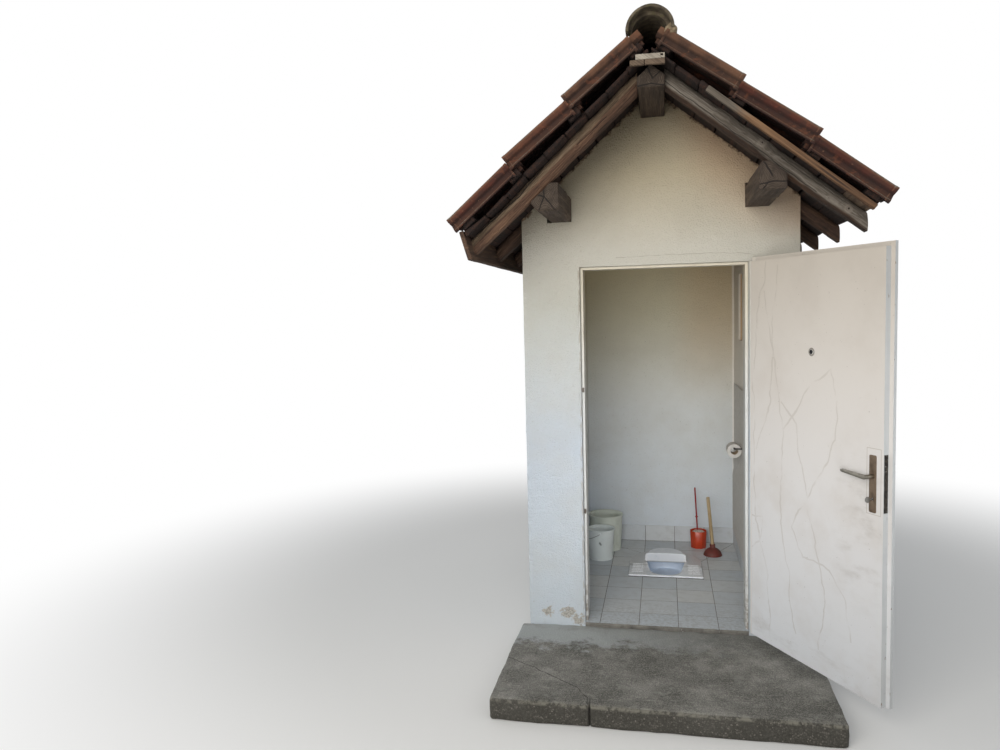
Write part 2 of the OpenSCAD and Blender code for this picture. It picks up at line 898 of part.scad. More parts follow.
// Plan of the bowl, c larger all round: two rounds joined by their common tangents
module well_outline(c) {
    r0 = bowl_front_w / 2;
    r1 = bowl_back_w / 2;
    y0 = bowl_in + r0;
    y1 = bowl_in + bowl_l - r1;
    a = asin((r1 - r0) / (y1 - y0));
    translate([0, y0]) circle(r0 + c);
    translate([0, y1]) circle(r1 + c);
    polygon([for (s = [-1, 1]) for (p = s < 0 ? [[y0, r0], [y1, r1]] : [[y1, r1], [y0, r0]])
        [s * (p[1] + c) * cos(a), p[0] - (p[1] + c) * sin(a)]]);
}

// Section of the hood, c larger than the back of the bowl all round, with its foot at height low
module hood_section(c, low) {
    w = bowl_back_w / 2 + c;
    top = hood_h - pan_t + c;
    r = hood_r - pan_t + c;
    translate([-w, low]) square([2 * w, top - r - low]);
    translate([-w + r, low]) square([2 * (w - r), top - low]);
    for (s = [-1, 1])
        translate([s * (w - r), top - r]) circle(r);
}

// The hood over the back of the bowl: straight in front, and round and tapering behind
module hood(c, low) {
    w = bowl_back_w / 2 + c;
    back = bowl_in + bowl_l - bowl_back_w / 2;
    intersection() {
        across(hood_in + pan_t - c, pan_l) hood_section(c, low);
        union() {
            translate([0, back, 0]) cylinder(r1 = w, r2 = w - hood_r, h = hood_h);
            translate([0, back, low]) cylinder(r = w, h = -low);
            block([-w, hood_in, low], [w, back, hood_h]);
        }
    }
}

module squat_pan() {
    rim_t = pan_rim + tile_t;
    well_h = bowl_d + pan_t;
    color("white")
        on_pan(floor_z + pan_rim)
            difference() {
                union() {
                    translate([0, 0, -rim_t]) linear_extrude(rim_t) pan_outline(0);
                    translate([0, 0, -well_h]) linear_extrude(well_h) well_outline(pan_t);
                    hood(pan_t, -rim_t);
                    footrests();
                }
                translate([0, 0, -bowl_d]) linear_extrude(bowl_d - hood_dip) well_outline(0);
                intersection() {
                    translate([0, 0, -bowl_d]) linear_extrude(bowl_d + cut) well_outline(0);
                    block([-pan_w, -cut, -bowl_d], [pan_w, hood_in, cut]);
                }
                hood(0, -hood_dip - 1);
            }
}

// Ribs across the footrests, halfway between the bowl and the sides of the pan
module footrests() {
    for (s = [-1, 1])
        for (i = [0 : rib_count - 1])
            translate([s * (bowl_back_w + pan_w) / 4 - rib_l / 2, rib_in + i * rib_pitch - rib_w / 2, -1])
                cube([rib_l, rib_w, rib_h + 1]);
}

// A pail with a straight wall that widens to its mouth, and a rim turned out round it
module pail(base_r, mouth_r, h) {
    inner = mouth_r - pail_rim / 2 - pail_t;
    rotate_extrude()
        polygon([[0, 0], [base_r, 0], [inner + pail_t, h - pail_rim], [mouth_r, h - pail_rim], [mouth_r, h],
            [inner, h], [inner, h - pail_rim], [base_r - pail_t, pail_t], [0, pail_t]]);
}

module small_pail() {
    color("mintcream")
        translate([-inner_x + skirt_t + small_side + small_r, rear_y - small_back, floor_z])
            pail(small_base_r, small_r, small_h);
}

module large_pail() {
    color("honeydew")
        translate([-inner_x + skirt_t + large_side + large_r, rear_y - large_back, floor_z])
            pail(large_base_r, large_r, large_h);
}

// Eight-sided shape that widens upwards, as the brush holder does, c smaller all round
module holder_shape(c) {
    r = holder_w / 2 - c;
    rotate([0, 0, 22.5]) cylinder(r1 = r - 5, r2 = r, h = holder_h, $fn = 8);
}

// The holder, and the brush that stands in it with its collar halfway up the rod
module toilet_brush() {
    color("orangered")
        translate([inner_x - holder_side, rear_y - holder_back, floor_z]) {
            difference() {
                holder_shape(0);
                translate([0, 0, holder_t]) holder_shape(holder_t);
            }
            translate([0, 0, holder_t + seat]) {
                cylinder(r = bristle_r, h = bristle_h);
                rotate([0, -brush_lean, 0]) {
                    translate([0, 0, rod_r]) cylinder(r = rod_r, h = brush_l - rod_r);
                    translate([0, 0, brush_l / 2]) cylinder(r = 2 * rod_r, h = rod_r);
                }
            }
        }
}

// Puts the middle of the plunger's cup at the origin, at height z
module at_plunger(z) {
    translate([inner_x - plunger_side, rear_y - plunger_back, floor_z + z]) children();
}

// Leans children as the plunger's handle leans, from height z
module on_plunger(z) {
    at_plunger(z)
        rotate([-plunger_lean / 2, -plunger_lean, 0])
            children();
}

module plunger_cup() {
    ball = (cup_r * cup_r + cup_h * cup_h) / (2 * cup_h);
    color("darkred")
        difference() {
            union() {
                at_plunger(cup_h - ball)
                    intersection() {
                        sphere(ball);
                        block([-cup_r, -cup_r, ball - cup_h], [cup_r, cup_r, ball]);
                    }
                on_plunger(cup_h - cup_t - 2) cylinder(r = plunger_r + cup_t, h = 5 * cup_t);
            }
            at_plunger(cup_h - ball) sphere(ball - cup_t);
            at_plunger(-cut) cylinder(r = cup_r - cup_t - 1, h = cut + cup_t / 2);
            on_plunger(cup_h - 2) cylinder(r = plunger_r + seat, h = 6 * cup_t);
        }
}

module plunger_handle() {
    color("burlywood")
        on_plunger(cup_h - 2 + seat) cylinder(r = plunger_r, h = plunger_l);
}

module roll_hook() {
    y = front_y + roll_y - hook_plate_w / 2 - hook_r;
    low = hook_z - 3 * hook_r;
    color("black") {
        block([inner_x - hook_plate_t, y - hook_plate_w / 2, low],
            [inner_x, y + hook_plate_w / 2, low + hook_plate_h]);
        translate([inner_x - 1, y, hook_z]) rotate([0, -90, 0]) cylinder(r = hook_r, h = inner_x - 1 - hook_x);
        translate([hook_x, y, hook_z]) sphere(hook_r);
        translate([hook_x, y, hook_z]) rotate([-90, 0, 0]) cylinder(r = hook_r, h = roll_l + hook_plate_w + hook_r);
    }
}

// The roll hangs on the hook's rod with the top of its core
module paper_roll() {
    z = hook_z + hook_r + seat - core_r;
    color("white")
        difference() {
            translate([hook_x, front_y + roll_y, z]) rotate([-90, 0, 0]) cylinder(r = roll_r, h = roll_l);
            translate([hook_x, front_y + roll_y - cut, z]) rotate([-90, 0, 0]) cylinder(r = core_r, h = roll_l + 2 * cut);
        }
}

// Heights of the joints between the lower and the upper knuckles
function hinge_zs() = [for (i = [0 : hinge_count - 1]) leaf_z + hinge_in + i * hinge_step];

// Shanks of the lower knuckles, driven through the plaster into the frame
module frame_shanks(r) {
    for (z = hinge_zs())
        translate([pin_x - knuckle_r + shank_r, pin_y, z - knuckle_l / 2])
            rotate([-90, 0, 0])
                cylinder(r = r, h = frame_y - pin_y + 30);
}

module frame_hinges() {
    color("silver") {
        frame_shanks(shank_r);
        for (z = hinge_zs()) {
            translate([pin_x, pin_y, z - knuckle_l]) cylinder(r = knuckle_r, h = knuckle_l);
            translate([pin_x, pin_y, z - 1]) cylinder(r = pin_r, h = knuckle_l + 3);
        }
    }
}

// Turns what is drawn as on the shut door to where the door stands
module swung() {
    translate([pin_x, pin_y, 0])
        rotate([0, 0, door_open])
            translate([-pin_x, -pin_y, 0])
                children();
}

// Shanks of the upper knuckles, driven into the edge of the leaf's lip
module leaf_shanks(r) {
    for (z = hinge_zs())
        translate([pin_x - 3, (outer_y + lip_y) / 2 - 1, z + knuckle_l / 2])
            rotate([0, -90, 0])
                cylinder(r = r, h = shank_l);
}

module leaf_hinges() {
    color("silver")
        swung()
            difference() {
                union() {
                    leaf_shanks(shank_r);
                    for (z = hinge_zs())
                        translate([pin_x, pin_y, z + 0.5]) cylinder(r = knuckle_r, h = knuckle_l);
                }
                for (z = hinge_zs())
                    translate([pin_x, pin_y, z - cut]) cylinder(r = pin_r + pin_clear, h = knuckle_l + 2 * cut);
            }
}

module door_leaf() {
    color("white")
        swung()
            difference() {
                union() {
                    block([leaf_left, outer_y, leaf_z], [leaf_right, inner_y, leaf_z + leaf_h]);
                    block([leaf_left - lip, outer_y, leaf_z], [leaf_right + lip, lip_y, leaf_z + leaf_h + lip]);
                }
                lock_case(seat);
                leaf_shanks(shank_r + seat);
                bore(spindle_x, spindle_z, spindle_r + 2);
                bore(spindle_x, key_z, 5);
                bore(leaf_right - spyhole_x, floor_z + spyhole_h, spyhole_r + seat);
            }
}

// A round hole through the leaf and whatever lies on its faces
module bore(x, z, r) {
    translate([x, outer_y - 2 * cut, z])
        rotate([-90, 0, 0])
            cylinder(r = r, h = inner_y - outer_y + 4 * cut);
}

// The lock's case and the plate on the edge of the leaf, c larger all round
module lock_case(c) {
    y = (lip_y + inner_y) / 2;
    block([leaf_left + face_t, y - case_t / 2 - c, plate_low + 14 - c],
        [leaf_left + backset + 22 + c, y + case_t / 2 + c, spindle_z + 35 + c]);
    block([leaf_left - 1, y - face_w / 2 - c, plate_low + 7 - c],
        [leaf_left + face_t + c, y + face_w / 2 + c, spindle_z + plate_up + 7 + c]);
}

module door_lock() {
    color("dimgray")
        swung()
            difference() {
                union() {
                    intersection() {
                        lock_case(0);
                        block([leaf_left, outer_y, leaf_z], [leaf_right, inner_y, leaf_z + leaf_h]);
                    }
                    // The key in the lock, its bow turned to the hinges
                    translate([spindle_x, (lip_y + inner_y) / 2, key_z])
                        rotate([-90, 0, 0])
                            cylinder(r = bow_r / 5, h = inner_y + plate_t + 1.5 * bow_r - (lip_y + inner_y) / 2);
                    translate([spindle_x - 1.5, inner_y + plate_t + 2 * bow_r, key_z])
                        rotate([0, 90, 0])
                            cylinder(r = bow_r, h = 3);
                }
                bore(spindle_x, spindle_z, spindle_r + 2);
            }
}

// A plate with rounded corners lies on each face of the leaf
module handle_plates() {
    r = 6;
    color("saddlebrown")
        swung()
            difference() {
                for (y = [outer_y - plate_t, inner_y])
                    across(y, plate_t)
                        translate([spindle_x - plate_w / 2, plate_low]) {
                            translate([r, 0]) square([plate_w - 2 * r, plate_h]);
                            translate([0, r]) square([plate_w, plate_h - 2 * r]);
                            for (x = [r, plate_w - r])
                                for (z = [r, plate_h - r])
                                    translate([x, z]) circle(r);
                        }
                bore(spindle_x, spindle_z, spindle_r + 2);
                bore(spindle_x, key_z, 5);
            }
}

// A brass barrel with a rim on each face of the leaf and a sunken lens at each end
module spyhole() {
    rim_t = 2;
    color("tan")
        swung()
            translate([leaf_right - spyhole_x, outer_y - rim_t, floor_z + spyhole_h])
                rotate([-90, 0, 0])
                    difference() {
                        union() {
                            cylinder(r = spyhole_r, h = inner_y - outer_y + 2 * rim_t);
                            cylinder(r = spyhole_r + 4, h = rim_t);
                            translate([0, 0, inner_y - outer_y + rim_t]) cylinder(r = spyhole_r + 4, h = rim_t);
                        }
                        translate([0, 0, -cut]) cylinder(r = spyhole_r - 2, h = cut + 4);
                        translate([0, 0, inner_y - outer_y + 2 * rim_t - 4]) cylinder(r = spyhole_r - 2, h = cut + 4);
                    }
}

// Outline of a lever, with its spindle's middle at the origin
module lever_outline() {
    tip_r = 6;
    circle(boss_r);
    rotate([0, 0, lever_rise]) {
        polygon([[0, -boss_r], [lever_l - tip_r, -tip_r], [lever_l - tip_r, tip_r], [0, boss_r]]);
        translate([lever_l - tip_r, 0]) circle(tip_r);
    }
}

// Both levers and their spindle turn as one
module door_handle() {
    color("silver")
        swung()
            translate([spindle_x, 0, spindle_z]) {
                translate([0, outer_y - plate_t - lever_out, 0])
                    rotate([-90, 0, 0])
                        cylinder(r = spindle_r, h = inner_y - outer_y + 2 * (plate_t + lever_out));
                for (y = [outer_y - plate_t - lever_out, inner_y + plate_t + 1])
                    translate([0, y, 0])
                        rotate([-90, 0, 0])
                            cylinder(r = boss_r, h = lever_out - 1);
                for (y = [outer_y - plate_t - lever_out - lever_t / 2, inner_y + plate_t + lever_out - lever_t / 2])
                    across(y, lever_t) lever_outline();
            }
}

front_step();
floor_base();
floor_tiles();
front_wall_left();
front_wall_right();
front_gable();
left_wall();
right_wall();
rear_wall();
skirting();
door_frame();
window_frame();
window_pane();
ridge_purlin();
left_purlin();
right_purlin();
front_rafters();
inner_rafters();
left_boards();
right_boards();
battens();
left_upper_tiles();
left_middle_tiles();
left_lower_tiles();
right_upper_tiles();
right_middle_tiles();
right_lower_tiles();
ridge_tiles();
eave_board();
roof_laths();
squat_pan();
roll_hook();
paper_roll();
small_pail();
large_pail();
toilet_brush();
plunger_cup();
plunger_handle();
frame_hinges();
leaf_hinges();
door_leaf();
door_lock();
handle_plates();
spyhole();
door_handle();
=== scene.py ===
import math
import random
from contextlib import contextmanager

import bmesh
import bpy
from mathutils import Matrix, Vector


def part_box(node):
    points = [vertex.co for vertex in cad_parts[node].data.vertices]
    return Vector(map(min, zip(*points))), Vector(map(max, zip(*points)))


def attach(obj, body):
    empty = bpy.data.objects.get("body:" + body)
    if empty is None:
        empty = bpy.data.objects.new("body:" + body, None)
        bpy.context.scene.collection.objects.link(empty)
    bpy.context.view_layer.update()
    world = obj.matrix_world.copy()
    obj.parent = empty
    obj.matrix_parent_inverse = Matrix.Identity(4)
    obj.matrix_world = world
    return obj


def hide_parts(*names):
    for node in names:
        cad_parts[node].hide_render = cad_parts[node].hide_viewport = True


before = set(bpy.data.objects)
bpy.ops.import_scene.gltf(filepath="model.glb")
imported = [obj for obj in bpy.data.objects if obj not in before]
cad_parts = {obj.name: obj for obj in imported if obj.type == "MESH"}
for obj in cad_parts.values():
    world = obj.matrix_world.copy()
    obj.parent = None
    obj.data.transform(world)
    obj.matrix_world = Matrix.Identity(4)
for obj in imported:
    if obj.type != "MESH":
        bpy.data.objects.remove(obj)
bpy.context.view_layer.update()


# ---- Camera, light and floor
# The camera stands where the photograph was taken from, in front of the doorway and a little to its right,
# and looks slightly to the left. The light is a soft daylight from above and in front, and a narrower
# lamp brings it in through the doorway.

TURN, TILT, LEAN = 0.207, -0.076, -0.025
camera = bpy.data.objects.new("camera", bpy.data.cameras.new("camera"))
bpy.context.scene.collection.objects.link(camera)
camera.data.lens = 28.26
camera.data.sensor_width = 36
camera.matrix_world = (
    Matrix.Translation((0.033, -4.853, 1.726))
    @ Matrix.Rotation(TURN, 4, "Z")
    @ Matrix.Rotation(math.pi / 2 + TILT, 4, "X")
    @ Matrix.Rotation(LEAN, 4, "Z")
)
bpy.context.scene.camera = camera
bpy.context.scene.view_settings.view_transform = "Standard"


def linear(colour):
    """A colour written as six sRGB hex digits, as the linear values that shaders take."""
    parts = [int(colour[i:i + 2], 16) / 255 for i in (0, 2, 4)]
    return [c / 12.92 if c <= 0.04045 else ((c + 0.055) / 1.055) ** 2.4 for c in parts] + [1.0]


def add(tree, kind, inputs=None, **settings):
    """Adds a shader node. Inputs go by name or number, as values, hex colours or sockets to link."""
    made = tree.nodes.new("ShaderNode" + kind)
    for name, value in settings.items():
        setattr(made, name, value)
    for name, value in (inputs or {}).items():
        if isinstance(value, bpy.types.NodeSocket):
            tree.links.new(value, made.inputs[name])
        else:
            made.inputs[name].default_value = linear(value) if isinstance(value, str) else value
    return made


def sums(tree, operation, *factors):
    """Factors added, multiplied or compared in turn. A factor is a number, a socket, a rise (value, low,
    high) from 0 at low to 1 at high, or a band (value, low, high, soft), 1 from low to high."""
    total = None
    for factor in factors:
        if isinstance(factor, tuple) and len(factor) == 4:
            value, low, high, soft = factor
            ends = (value, low - soft, low + soft), (value, high + soft, high - soft)
            factor = sums(tree, "MULTIPLY", *ends)
        elif isinstance(factor, tuple):
            factor = add(tree, "MapRange", dict(zip(("Value", "From Min", "From Max"), factor)),
                         interpolation_type="SMOOTHSTEP").outputs[0]
        if total is None:
            total = factor
        else:
            total = add(tree, "Math", {0: total, 1: factor}, operation=operation).outputs[0]
    return total


def seen_straight(tree):
    """1 for rays from the camera, from a mirror or through glass."""
    rays = add(tree, "LightPath").outputs
    return sums(tree, "MAXIMUM", rays["Is Camera Ray"], rays["Is Transmission Ray"], rays["Is Glossy Ray"])


world = bpy.data.worlds.new("studio")
world.use_nodes = True
tree = world.node_tree
tree.nodes.clear()
soft = add(tree, "Background", {"Color": "f0f2f5", "Strength": 0.62})
white = add(tree, "Background", {"Color": "ffffff", "Strength": 1.0})
either = add(tree, "MixShader", {0: seen_straight(tree), 1: soft.outputs[0], 2: white.outputs[0]})
add(tree, "OutputWorld", {"Surface": either.outputs[0]})
bpy.context.scene.world = world

for name, place, aim, size, power, spread, colour in (
    ("daylight", (-1.8, -6.3, 3.1), (0, -0.6, 2.0), (3.6, 3.6), 178, 180, "fdf8f0"),
    ("doorway light", (-0.05, -3.3, 1.3), (0, 0.68, 0.95), (1.7, 0.9), 7.0, 62, "f7f9fb"),
):
    lamp = bpy.data.objects.new(name, bpy.data.lights.new(name, "AREA"))
    bpy.context.scene.collection.objects.link(lamp)
    lamp.data.shape = "RECTANGLE"
    lamp.data.size, lamp.data.size_y = size
    lamp.data.energy = power
    lamp.data.spread = math.radians(spread)
    lamp.data.color = linear(colour)[:3]
    lamp.location = place
    lamp.rotation_euler = (Vector(aim) - Vector(place)).to_track_quat("-Z", "Y").to_euler()

bpy.ops.object.select_all(action="DESELECT")
bpy.ops.mesh.primitive_plane_add(size=60, location=(0, 0, -0.001))
floor = bpy.context.object
floor.name = "floor"
floor_paint = bpy.data.materials.new("studio floor")
floor_paint.use_nodes = True
tree = floor_paint.node_tree
tree.nodes.clear()
# It looks pale, but throws no more light back up than bare ground does
ground = add(tree, "Mix", {0: add(tree, "LightPath").outputs["Is Camera Ray"], 6: "c4c2bd", 7: "ededeb"},
             data_type="RGBA")
matt = add(tree, "BsdfDiffuse", {"Color": ground.outputs[2]})
glow = add(tree, "Emission", {"Color": "ffffff", "Strength": 1.0})
# The floor fades into the white background away from the object
away = add(tree, "VectorMath", {0: add(tree, "TexCoord").outputs["Object"]}, operation="LENGTH")
fade = sums(tree, "MULTIPLY", (away.outputs["Value"], 1.9, 4.6), seen_straight(tree))
both = add(tree, "MixShader", {0: fade, 1: matt.outputs[0], 2: glow.outputs[0]})
add(tree, "OutputMaterial", {"Surface": both.outputs[0]})
floor.data.materials.append(floor_paint)


# ---- Front step
# A block of poured concrete in front of the doorway, dark and stained. Its front edge is worn round by
# feet and has cracked through, and its front shows the stones in the mix. Front and sides are painted
# darker than the top, as their shade.

def pick(obj):
    """Makes obj the only selected and active object."""
    bpy.ops.object.select_all(action="DESELECT")
    obj.select_set(True)
    bpy.context.view_layer.objects.active = obj


def start(primitive, **how):
    """A new primitive at its size and place, with its own origin left at the frame's."""
    bpy.ops.object.select_all(action="DESELECT")
    primitive(**how)
    bpy.ops.object.transform_apply()
    return bpy.context.object


@contextmanager
def editing(obj):
    """Opens obj in edit mode with all of it selected, for the lines inside."""
    pick(obj)
    bpy.ops.object.mode_set(mode="EDIT")
    bpy.ops.mesh.select_all(action="SELECT")
    yield
    bpy.ops.object.mode_set(mode="OBJECT")


def modify(obj, kind, **settings):
    """Gives obj a modifier and applies it."""
    pick(obj)
    made = obj.modifiers.new(kind.lower(), kind)
    for name, value in settings.items():
        setattr(made, name, value)
    bpy.ops.object.modifier_apply(modifier=made.name)


def round_edges(obj, width, segments=2, angle=40):
    """Rounds every edge that is sharper than the angle."""
    modify(obj, "BEVEL", width=width, segments=segments, limit_method="ANGLE",
           angle_limit=math.radians(angle))


def smooth(obj, angle=40):
    """Shades obj smooth over edges that are flatter than the angle."""
    pick(obj)
    bpy.ops.object.shade_smooth_by_angle(angle=math.radians(angle))


def roughen(obj, depth, size):
    """Moves the surface in and out along its normals, over bumps of that size."""
    clouds = bpy.data.textures.new("unevenness", "CLOUDS")
    clouds.noise_scale = size
    clouds.noise_depth = 2
    modify(obj, "DISPLACE", texture=clouds, strength=depth, mid_level=0.5, texture_coords="LOCAL")


def choose(test, kind="FACE"):
    """In edit mode, selects what passes a test of the place it is at and the way it faces."""
    bpy.ops.mesh.select_mode(type=kind)
    bpy.ops.mesh.select_all(action="DESELECT")
    mesh = bmesh.from_edit_mesh(bpy.context.object.data)
    if kind == "FACE":
        for face in mesh.faces:
            face.select_set(bool(test(face.calc_center_median(), face.normal)))
    else:
        for vert in mesh.verts:
            vert.select_set(bool(test(vert.co, vert.normal)))
    mesh.select_flush_mode()
    bmesh.update_edit_mesh(bpy.context.object.data)


def shift(obj, test, by, kind="VERT"):
    """Moves the points or faces that pass the test."""
    with editing(obj):
        choose(test, kind)
        bpy.ops.transform.translate(value=by)


def slice_up(obj, axis, places):
    """Cuts new edges round obj where planes across that axis meet it."""
    square = Vector([float(i == axis) for i in range(3)])
    with editing(obj):
        for place in places:
            bpy.ops.mesh.select_all(action="SELECT")
            bpy.ops.mesh.bisect(plane_co=square * place, plane_no=square)


def trim(obj, point, normal):
    """Cuts off what lies beyond a plane, on the side that its normal points to."""
    with editing(obj):
        bpy.ops.mesh.bisect(plane_co=point, plane_no=normal, use_fill=True, clear_outer=True)


def steps(low, high, step):
    """Places between low and high, about step apart."""
    count = max(2, round((high - low) / step))
    return [low + (high - low) * i / count for i in range(1, count)]


def dress(obj, *materials):
    """Gives obj these materials in place of its own and keeps which face has which."""
    kept = [polygon.material_index for polygon in obj.data.polygons]
    obj.data.materials.clear()
    for material in materials:
        obj.data.materials.append(material)
    for polygon, index in zip(obj.data.polygons, kept):
        polygon.material_index = min(index, len(materials) - 1)


def settle(obj, name, slot, materials, *nodes, body="root"):
    """Names a finished piece, gives it its materials, hangs it on its CAD body and hides the CAD nodes it
    stands for.
    """
    obj.name = obj.data.name = name
    dress(obj, *materials)
    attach(obj, body)
    if nodes:
        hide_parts(*nodes)


def surface(name, colour, roughness, bumps=(), height=0.001, **more):
    """A material. A colour or roughness may be made by a function of the node tree. The bumps are noises,
    written by their size and detail, whose sum is up to that high."""
    material = bpy.data.materials.new(name)
    material.use_nodes = True
    tree = material.node_tree
    tree.nodes.clear()
    inputs = {"Base Color": colour, "Roughness": roughness, **more}
    inputs = {key: value(tree) if callable(value) else value for key, value in inputs.items()}
    if bumps:
        relief = sums(tree, "ADD", *(noise(tree, *bump) for bump in bumps))
        inputs["Normal"] = add(tree, "Bump", {"Distance": height, "Height": relief}).outputs[0]
    shader = add(tree, "BsdfPrincipled", inputs)
    add(tree, "OutputMaterial", {"Surface": shader.outputs[0]})
    return material


def where_at(tree, source="Object"):
    """Where a point of the surface is, in the frame or in a piece's own attribute, such as its grain."""
    if source == "Object":
        return add(tree, "TexCoord").outputs["Object"]
    return add(tree, "Attribute", attribute_name=source).outputs["Vector"]


def parts_of(tree, source="Object"):
    """The three numbers of where a point is, or of another vector."""
    vector = where_at(tree, source) if isinstance(source, str) else source
    return list(add(tree, "SeparateXYZ", {0: vector}).outputs)


def noise(tree, size, detail=3.0, stretch=(1, 1, 1), source="Object", rough=0.6):
    """Noise whose bumps are about size metres, drawn out to 1 / stretch of that along an axis."""
    place = add(tree, "Mapping", {"Vector": where_at(tree, source), "Scale": stretch}).outputs[0]
    return add(tree, "TexNoise", {"Vector": place, "Scale": 1 / size, "Detail": detail,
                                  "Roughness": rough}).outputs["Fac"]


def stirred(tree, value, by, *how, **more):
    """A measure with that much noise added, so that what follows it has a ragged edge."""
    return sums(tree, "ADD", value, product(tree, noise(tree, *how, **more), by))


def shades(tree, factor, *stops):
    """A colour for each value of factor, from stops of (value, colour). A factor that is written as a size
    and a detail is noise."""
    if isinstance(factor, tuple):
        factor = noise(tree, *factor)
    ramp = add(tree, "ValToRGB", {"Fac": factor})
    while len(ramp.color_ramp.elements) < len(stops):
        ramp.color_ramp.elements.new(0.5)
    for element, (value, colour) in zip(ramp.color_ramp.elements, stops):
        element.position = value
        element.color = linear(colour)
    return ramp.outputs["Color"]


def product(tree, *factors):
    """All factors multiplied."""
    return sums(tree, "MULTIPLY", *factors)


def coats(tree, base, *layers):
    """Colours laid over a base in turn. Each is followed by the factors of how much it hides."""
    for colour, *factors in layers:
        base = add(tree, "Mix", {0: product(tree, *factors), 6: base, 7: colour}, data_type="RGBA").outputs[2]
    return base


def along_line(tree, where, points, width):
    """1 on the line through the points, and 0 from half the width to either side of it."""
    nearest = None
    points = [Vector(p) if len(p) == 3 else Vector((p[0], 0, p[1])) for p in points]
    for a, b in zip(points, points[1:]):
        reach = b - a
        back = add(tree, "VectorMath", {0: a, 1: where}, operation="SUBTRACT").outputs[0]
        share = add(tree, "VectorMath", {0: back, 1: reach / -reach.length_squared}, operation="DOT_PRODUCT")
        share = add(tree, "Math", {0: share.outputs["Value"], 1: 0.0}, operation="ADD", use_clamp=True)
        foot = add(tree, "VectorMath", {0: reach, "Scale": share.outputs[0]}, operation="SCALE")
        off = add(tree, "VectorMath", {0: foot.outputs[0], 1: back}, operation="ADD").outputs[0]
        far = add(tree, "VectorMath", {0: off}, operation="LENGTH").outputs["Value"]
        nearest = far if nearest is None else sums(tree, "MINIMUM", nearest, far)
    return product(tree, (nearest, width / 2, width / 5))


def wobbly(tree, size, depth, axes=(1, 0, 1), where=None):
    """The place, shifted to and fro along these axes by up to half the depth over that size."""
    where = where_at(tree) if where is None else where
    clouds = add(tree, "TexNoise", {"Vector": where, "Scale": 1 / size, "Detail": 2.0}).outputs["Color"]
    back = add(tree, "VectorMath", {0: where, 1: [depth * part / 2 for part in axes]}, operation="SUBTRACT")
    return add(tree, "VectorMath", {0: clouds, 1: [depth * part for part in axes], 2: back.outputs[0]},
               operation="MULTIPLY_ADD").outputs[0]


def faces_way(tree, axis):
    """How far the surface faces along that axis, from -1 to 1."""
    return parts_of(tree, add(tree, "NewGeometry").outputs["Normal"])[axis]


STEP_TOP = 0.097
STEP_CRACK = [(x, y, STEP_TOP) for x, y in ((-0.74, -1.27), (-0.56, -1.39), (-0.348, -1.552), (-0.30, -1.63),
                                            (-0.288, -1.70))] + [(-0.281, -1.70, 0.0)]


def stones(tree):
    """The stones and sand of concrete whose skin has worn off, each 6 to 14 mm."""
    place = wobbly(tree, 0.02, 0.012, (1, 1, 1))
    cells = add(tree, "TexVoronoi", {"Vector": place, "Scale": 1 / 0.0075}).outputs
    stone = shades(tree, parts_of(tree, cells["Color"])[0],
                   (0.0, "37352f"), (0.6, "4d4a44"), (0.9, "615d57"), (1.0, "7d7870"))
    return coats(tree, stone,
                 ("3d3b35", 0.6, (noise(tree, 0.03, 4), 0.45, 0.6)),
                 ("393731", (cells["Distance"], 0.4, 0.65)))


def concrete_colour(tree):
    x, y, z = parts_of(tree)
    base = shades(tree, noise(tree, 0.22, 9, rough=0.7), (0.36, "464743"), (0.5, "6e6d69"), (0.64, "9a9993"))
    edge = stirred(tree, y, 0.6, 0.1, 7, rough=0.75)
    # Faces turned to the front and to the sides, painted darker than the top as their shade
    front = sums(tree, "MAXIMUM", (faces_way(tree, 1), -0.4, -0.8),
                 product(tree, (faces_way(tree, 2), 0.5, 0.2), 0.8))
    return coats(
        tree, base,
        (shades(tree, (0.005, 2), (0.36, "35342f"), (0.5, "64625b"), (0.66, "a5a196")), 0.48),
        ("8b8b84", (noise(tree, 0.06, 6), 0.56, 0.68), 0.5),
        ("9c9b92", (noise(tree, 0.035, 7, (0.6, 2, 1), rough=0.7), 0.57, 0.66), 0.45),
        # Lime that has run off the wall on the left, and the dust along the threshold
        ("a2a6a5", (edge, -0.86, -0.74), (x, 0.55, -0.45), 0.9),
        ("8a8983", (edge, -0.66, -0.52), 0.6),
        # The stones of the mix, in darker greys that also paint the shade of the front and sides
        (stones(tree), front, 0.85),
        # The worn front edge is paler
        ("8f8c80", (z, 0.082, 0.096, 0.006), (y, -1.66, -1.69), (noise(tree, 0.03, 4), 0.4, 0.6), 0.6),
        ("26241f", along_line(tree, wobbly(tree, 0.05, 0.03, (1, 0, 0)), STEP_CRACK, 0.008), 0.75))


# Old grey concrete with paler worn patches; the bumps are its sand and small stones
concrete = surface("worn concrete", concrete_colour, 0.9, [(0.006, 4), (0.04, 4)], 0.005)

low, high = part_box("front_step")
step = start(bpy.ops.mesh.primitive_cube_add, size=1, location=(low + high) / 2, scale=high - low)
trim(step, (low.x + 0.012, low.y, 0), (-0.6, -1, 0))
trim(step, (high.x - 0.01, low.y, 0), (0.5, -1, 0))
round_edges(step, 0.011, 3)
slice_up(step, 0, steps(low.x, high.x, 0.035) + [-0.298, -0.288, -0.278])
slice_up(step, 1, steps(low.y, high.y, 0.035) + [low.y + 0.012, low.y + 0.024])
slice_up(step, 2, [low.z + 0.025, low.z + 0.05, low.z + 0.075])
# The front edge has chipped where the crack meets it
shift(step, lambda at, way: abs(at.x + 0.288) < 0.002 and at.y < -1.65, (0.002, 0.02, -0.008))
roughen(step, 0.009, 0.11)
roughen(step, 0.005, 0.03)
trim(step, (0, 0, 0), (0, 0, -1))
trim(step, (0, high.y, 0), (0, 1, 0))
smooth(step)
settle(step, "concrete_step", "concrete", [concrete], "front_step")


# ---- Floor, skirting and the slab under them
# Square glazed tiles of about 200 mm laid in dark grout, and a skirting of the same tiles cut in half.

def twin(obj):
    """A copy of obj with its own mesh."""
    made = obj.copy()
    made.data = obj.data.copy()
    bpy.context.scene.collection.objects.link(made)
    return made


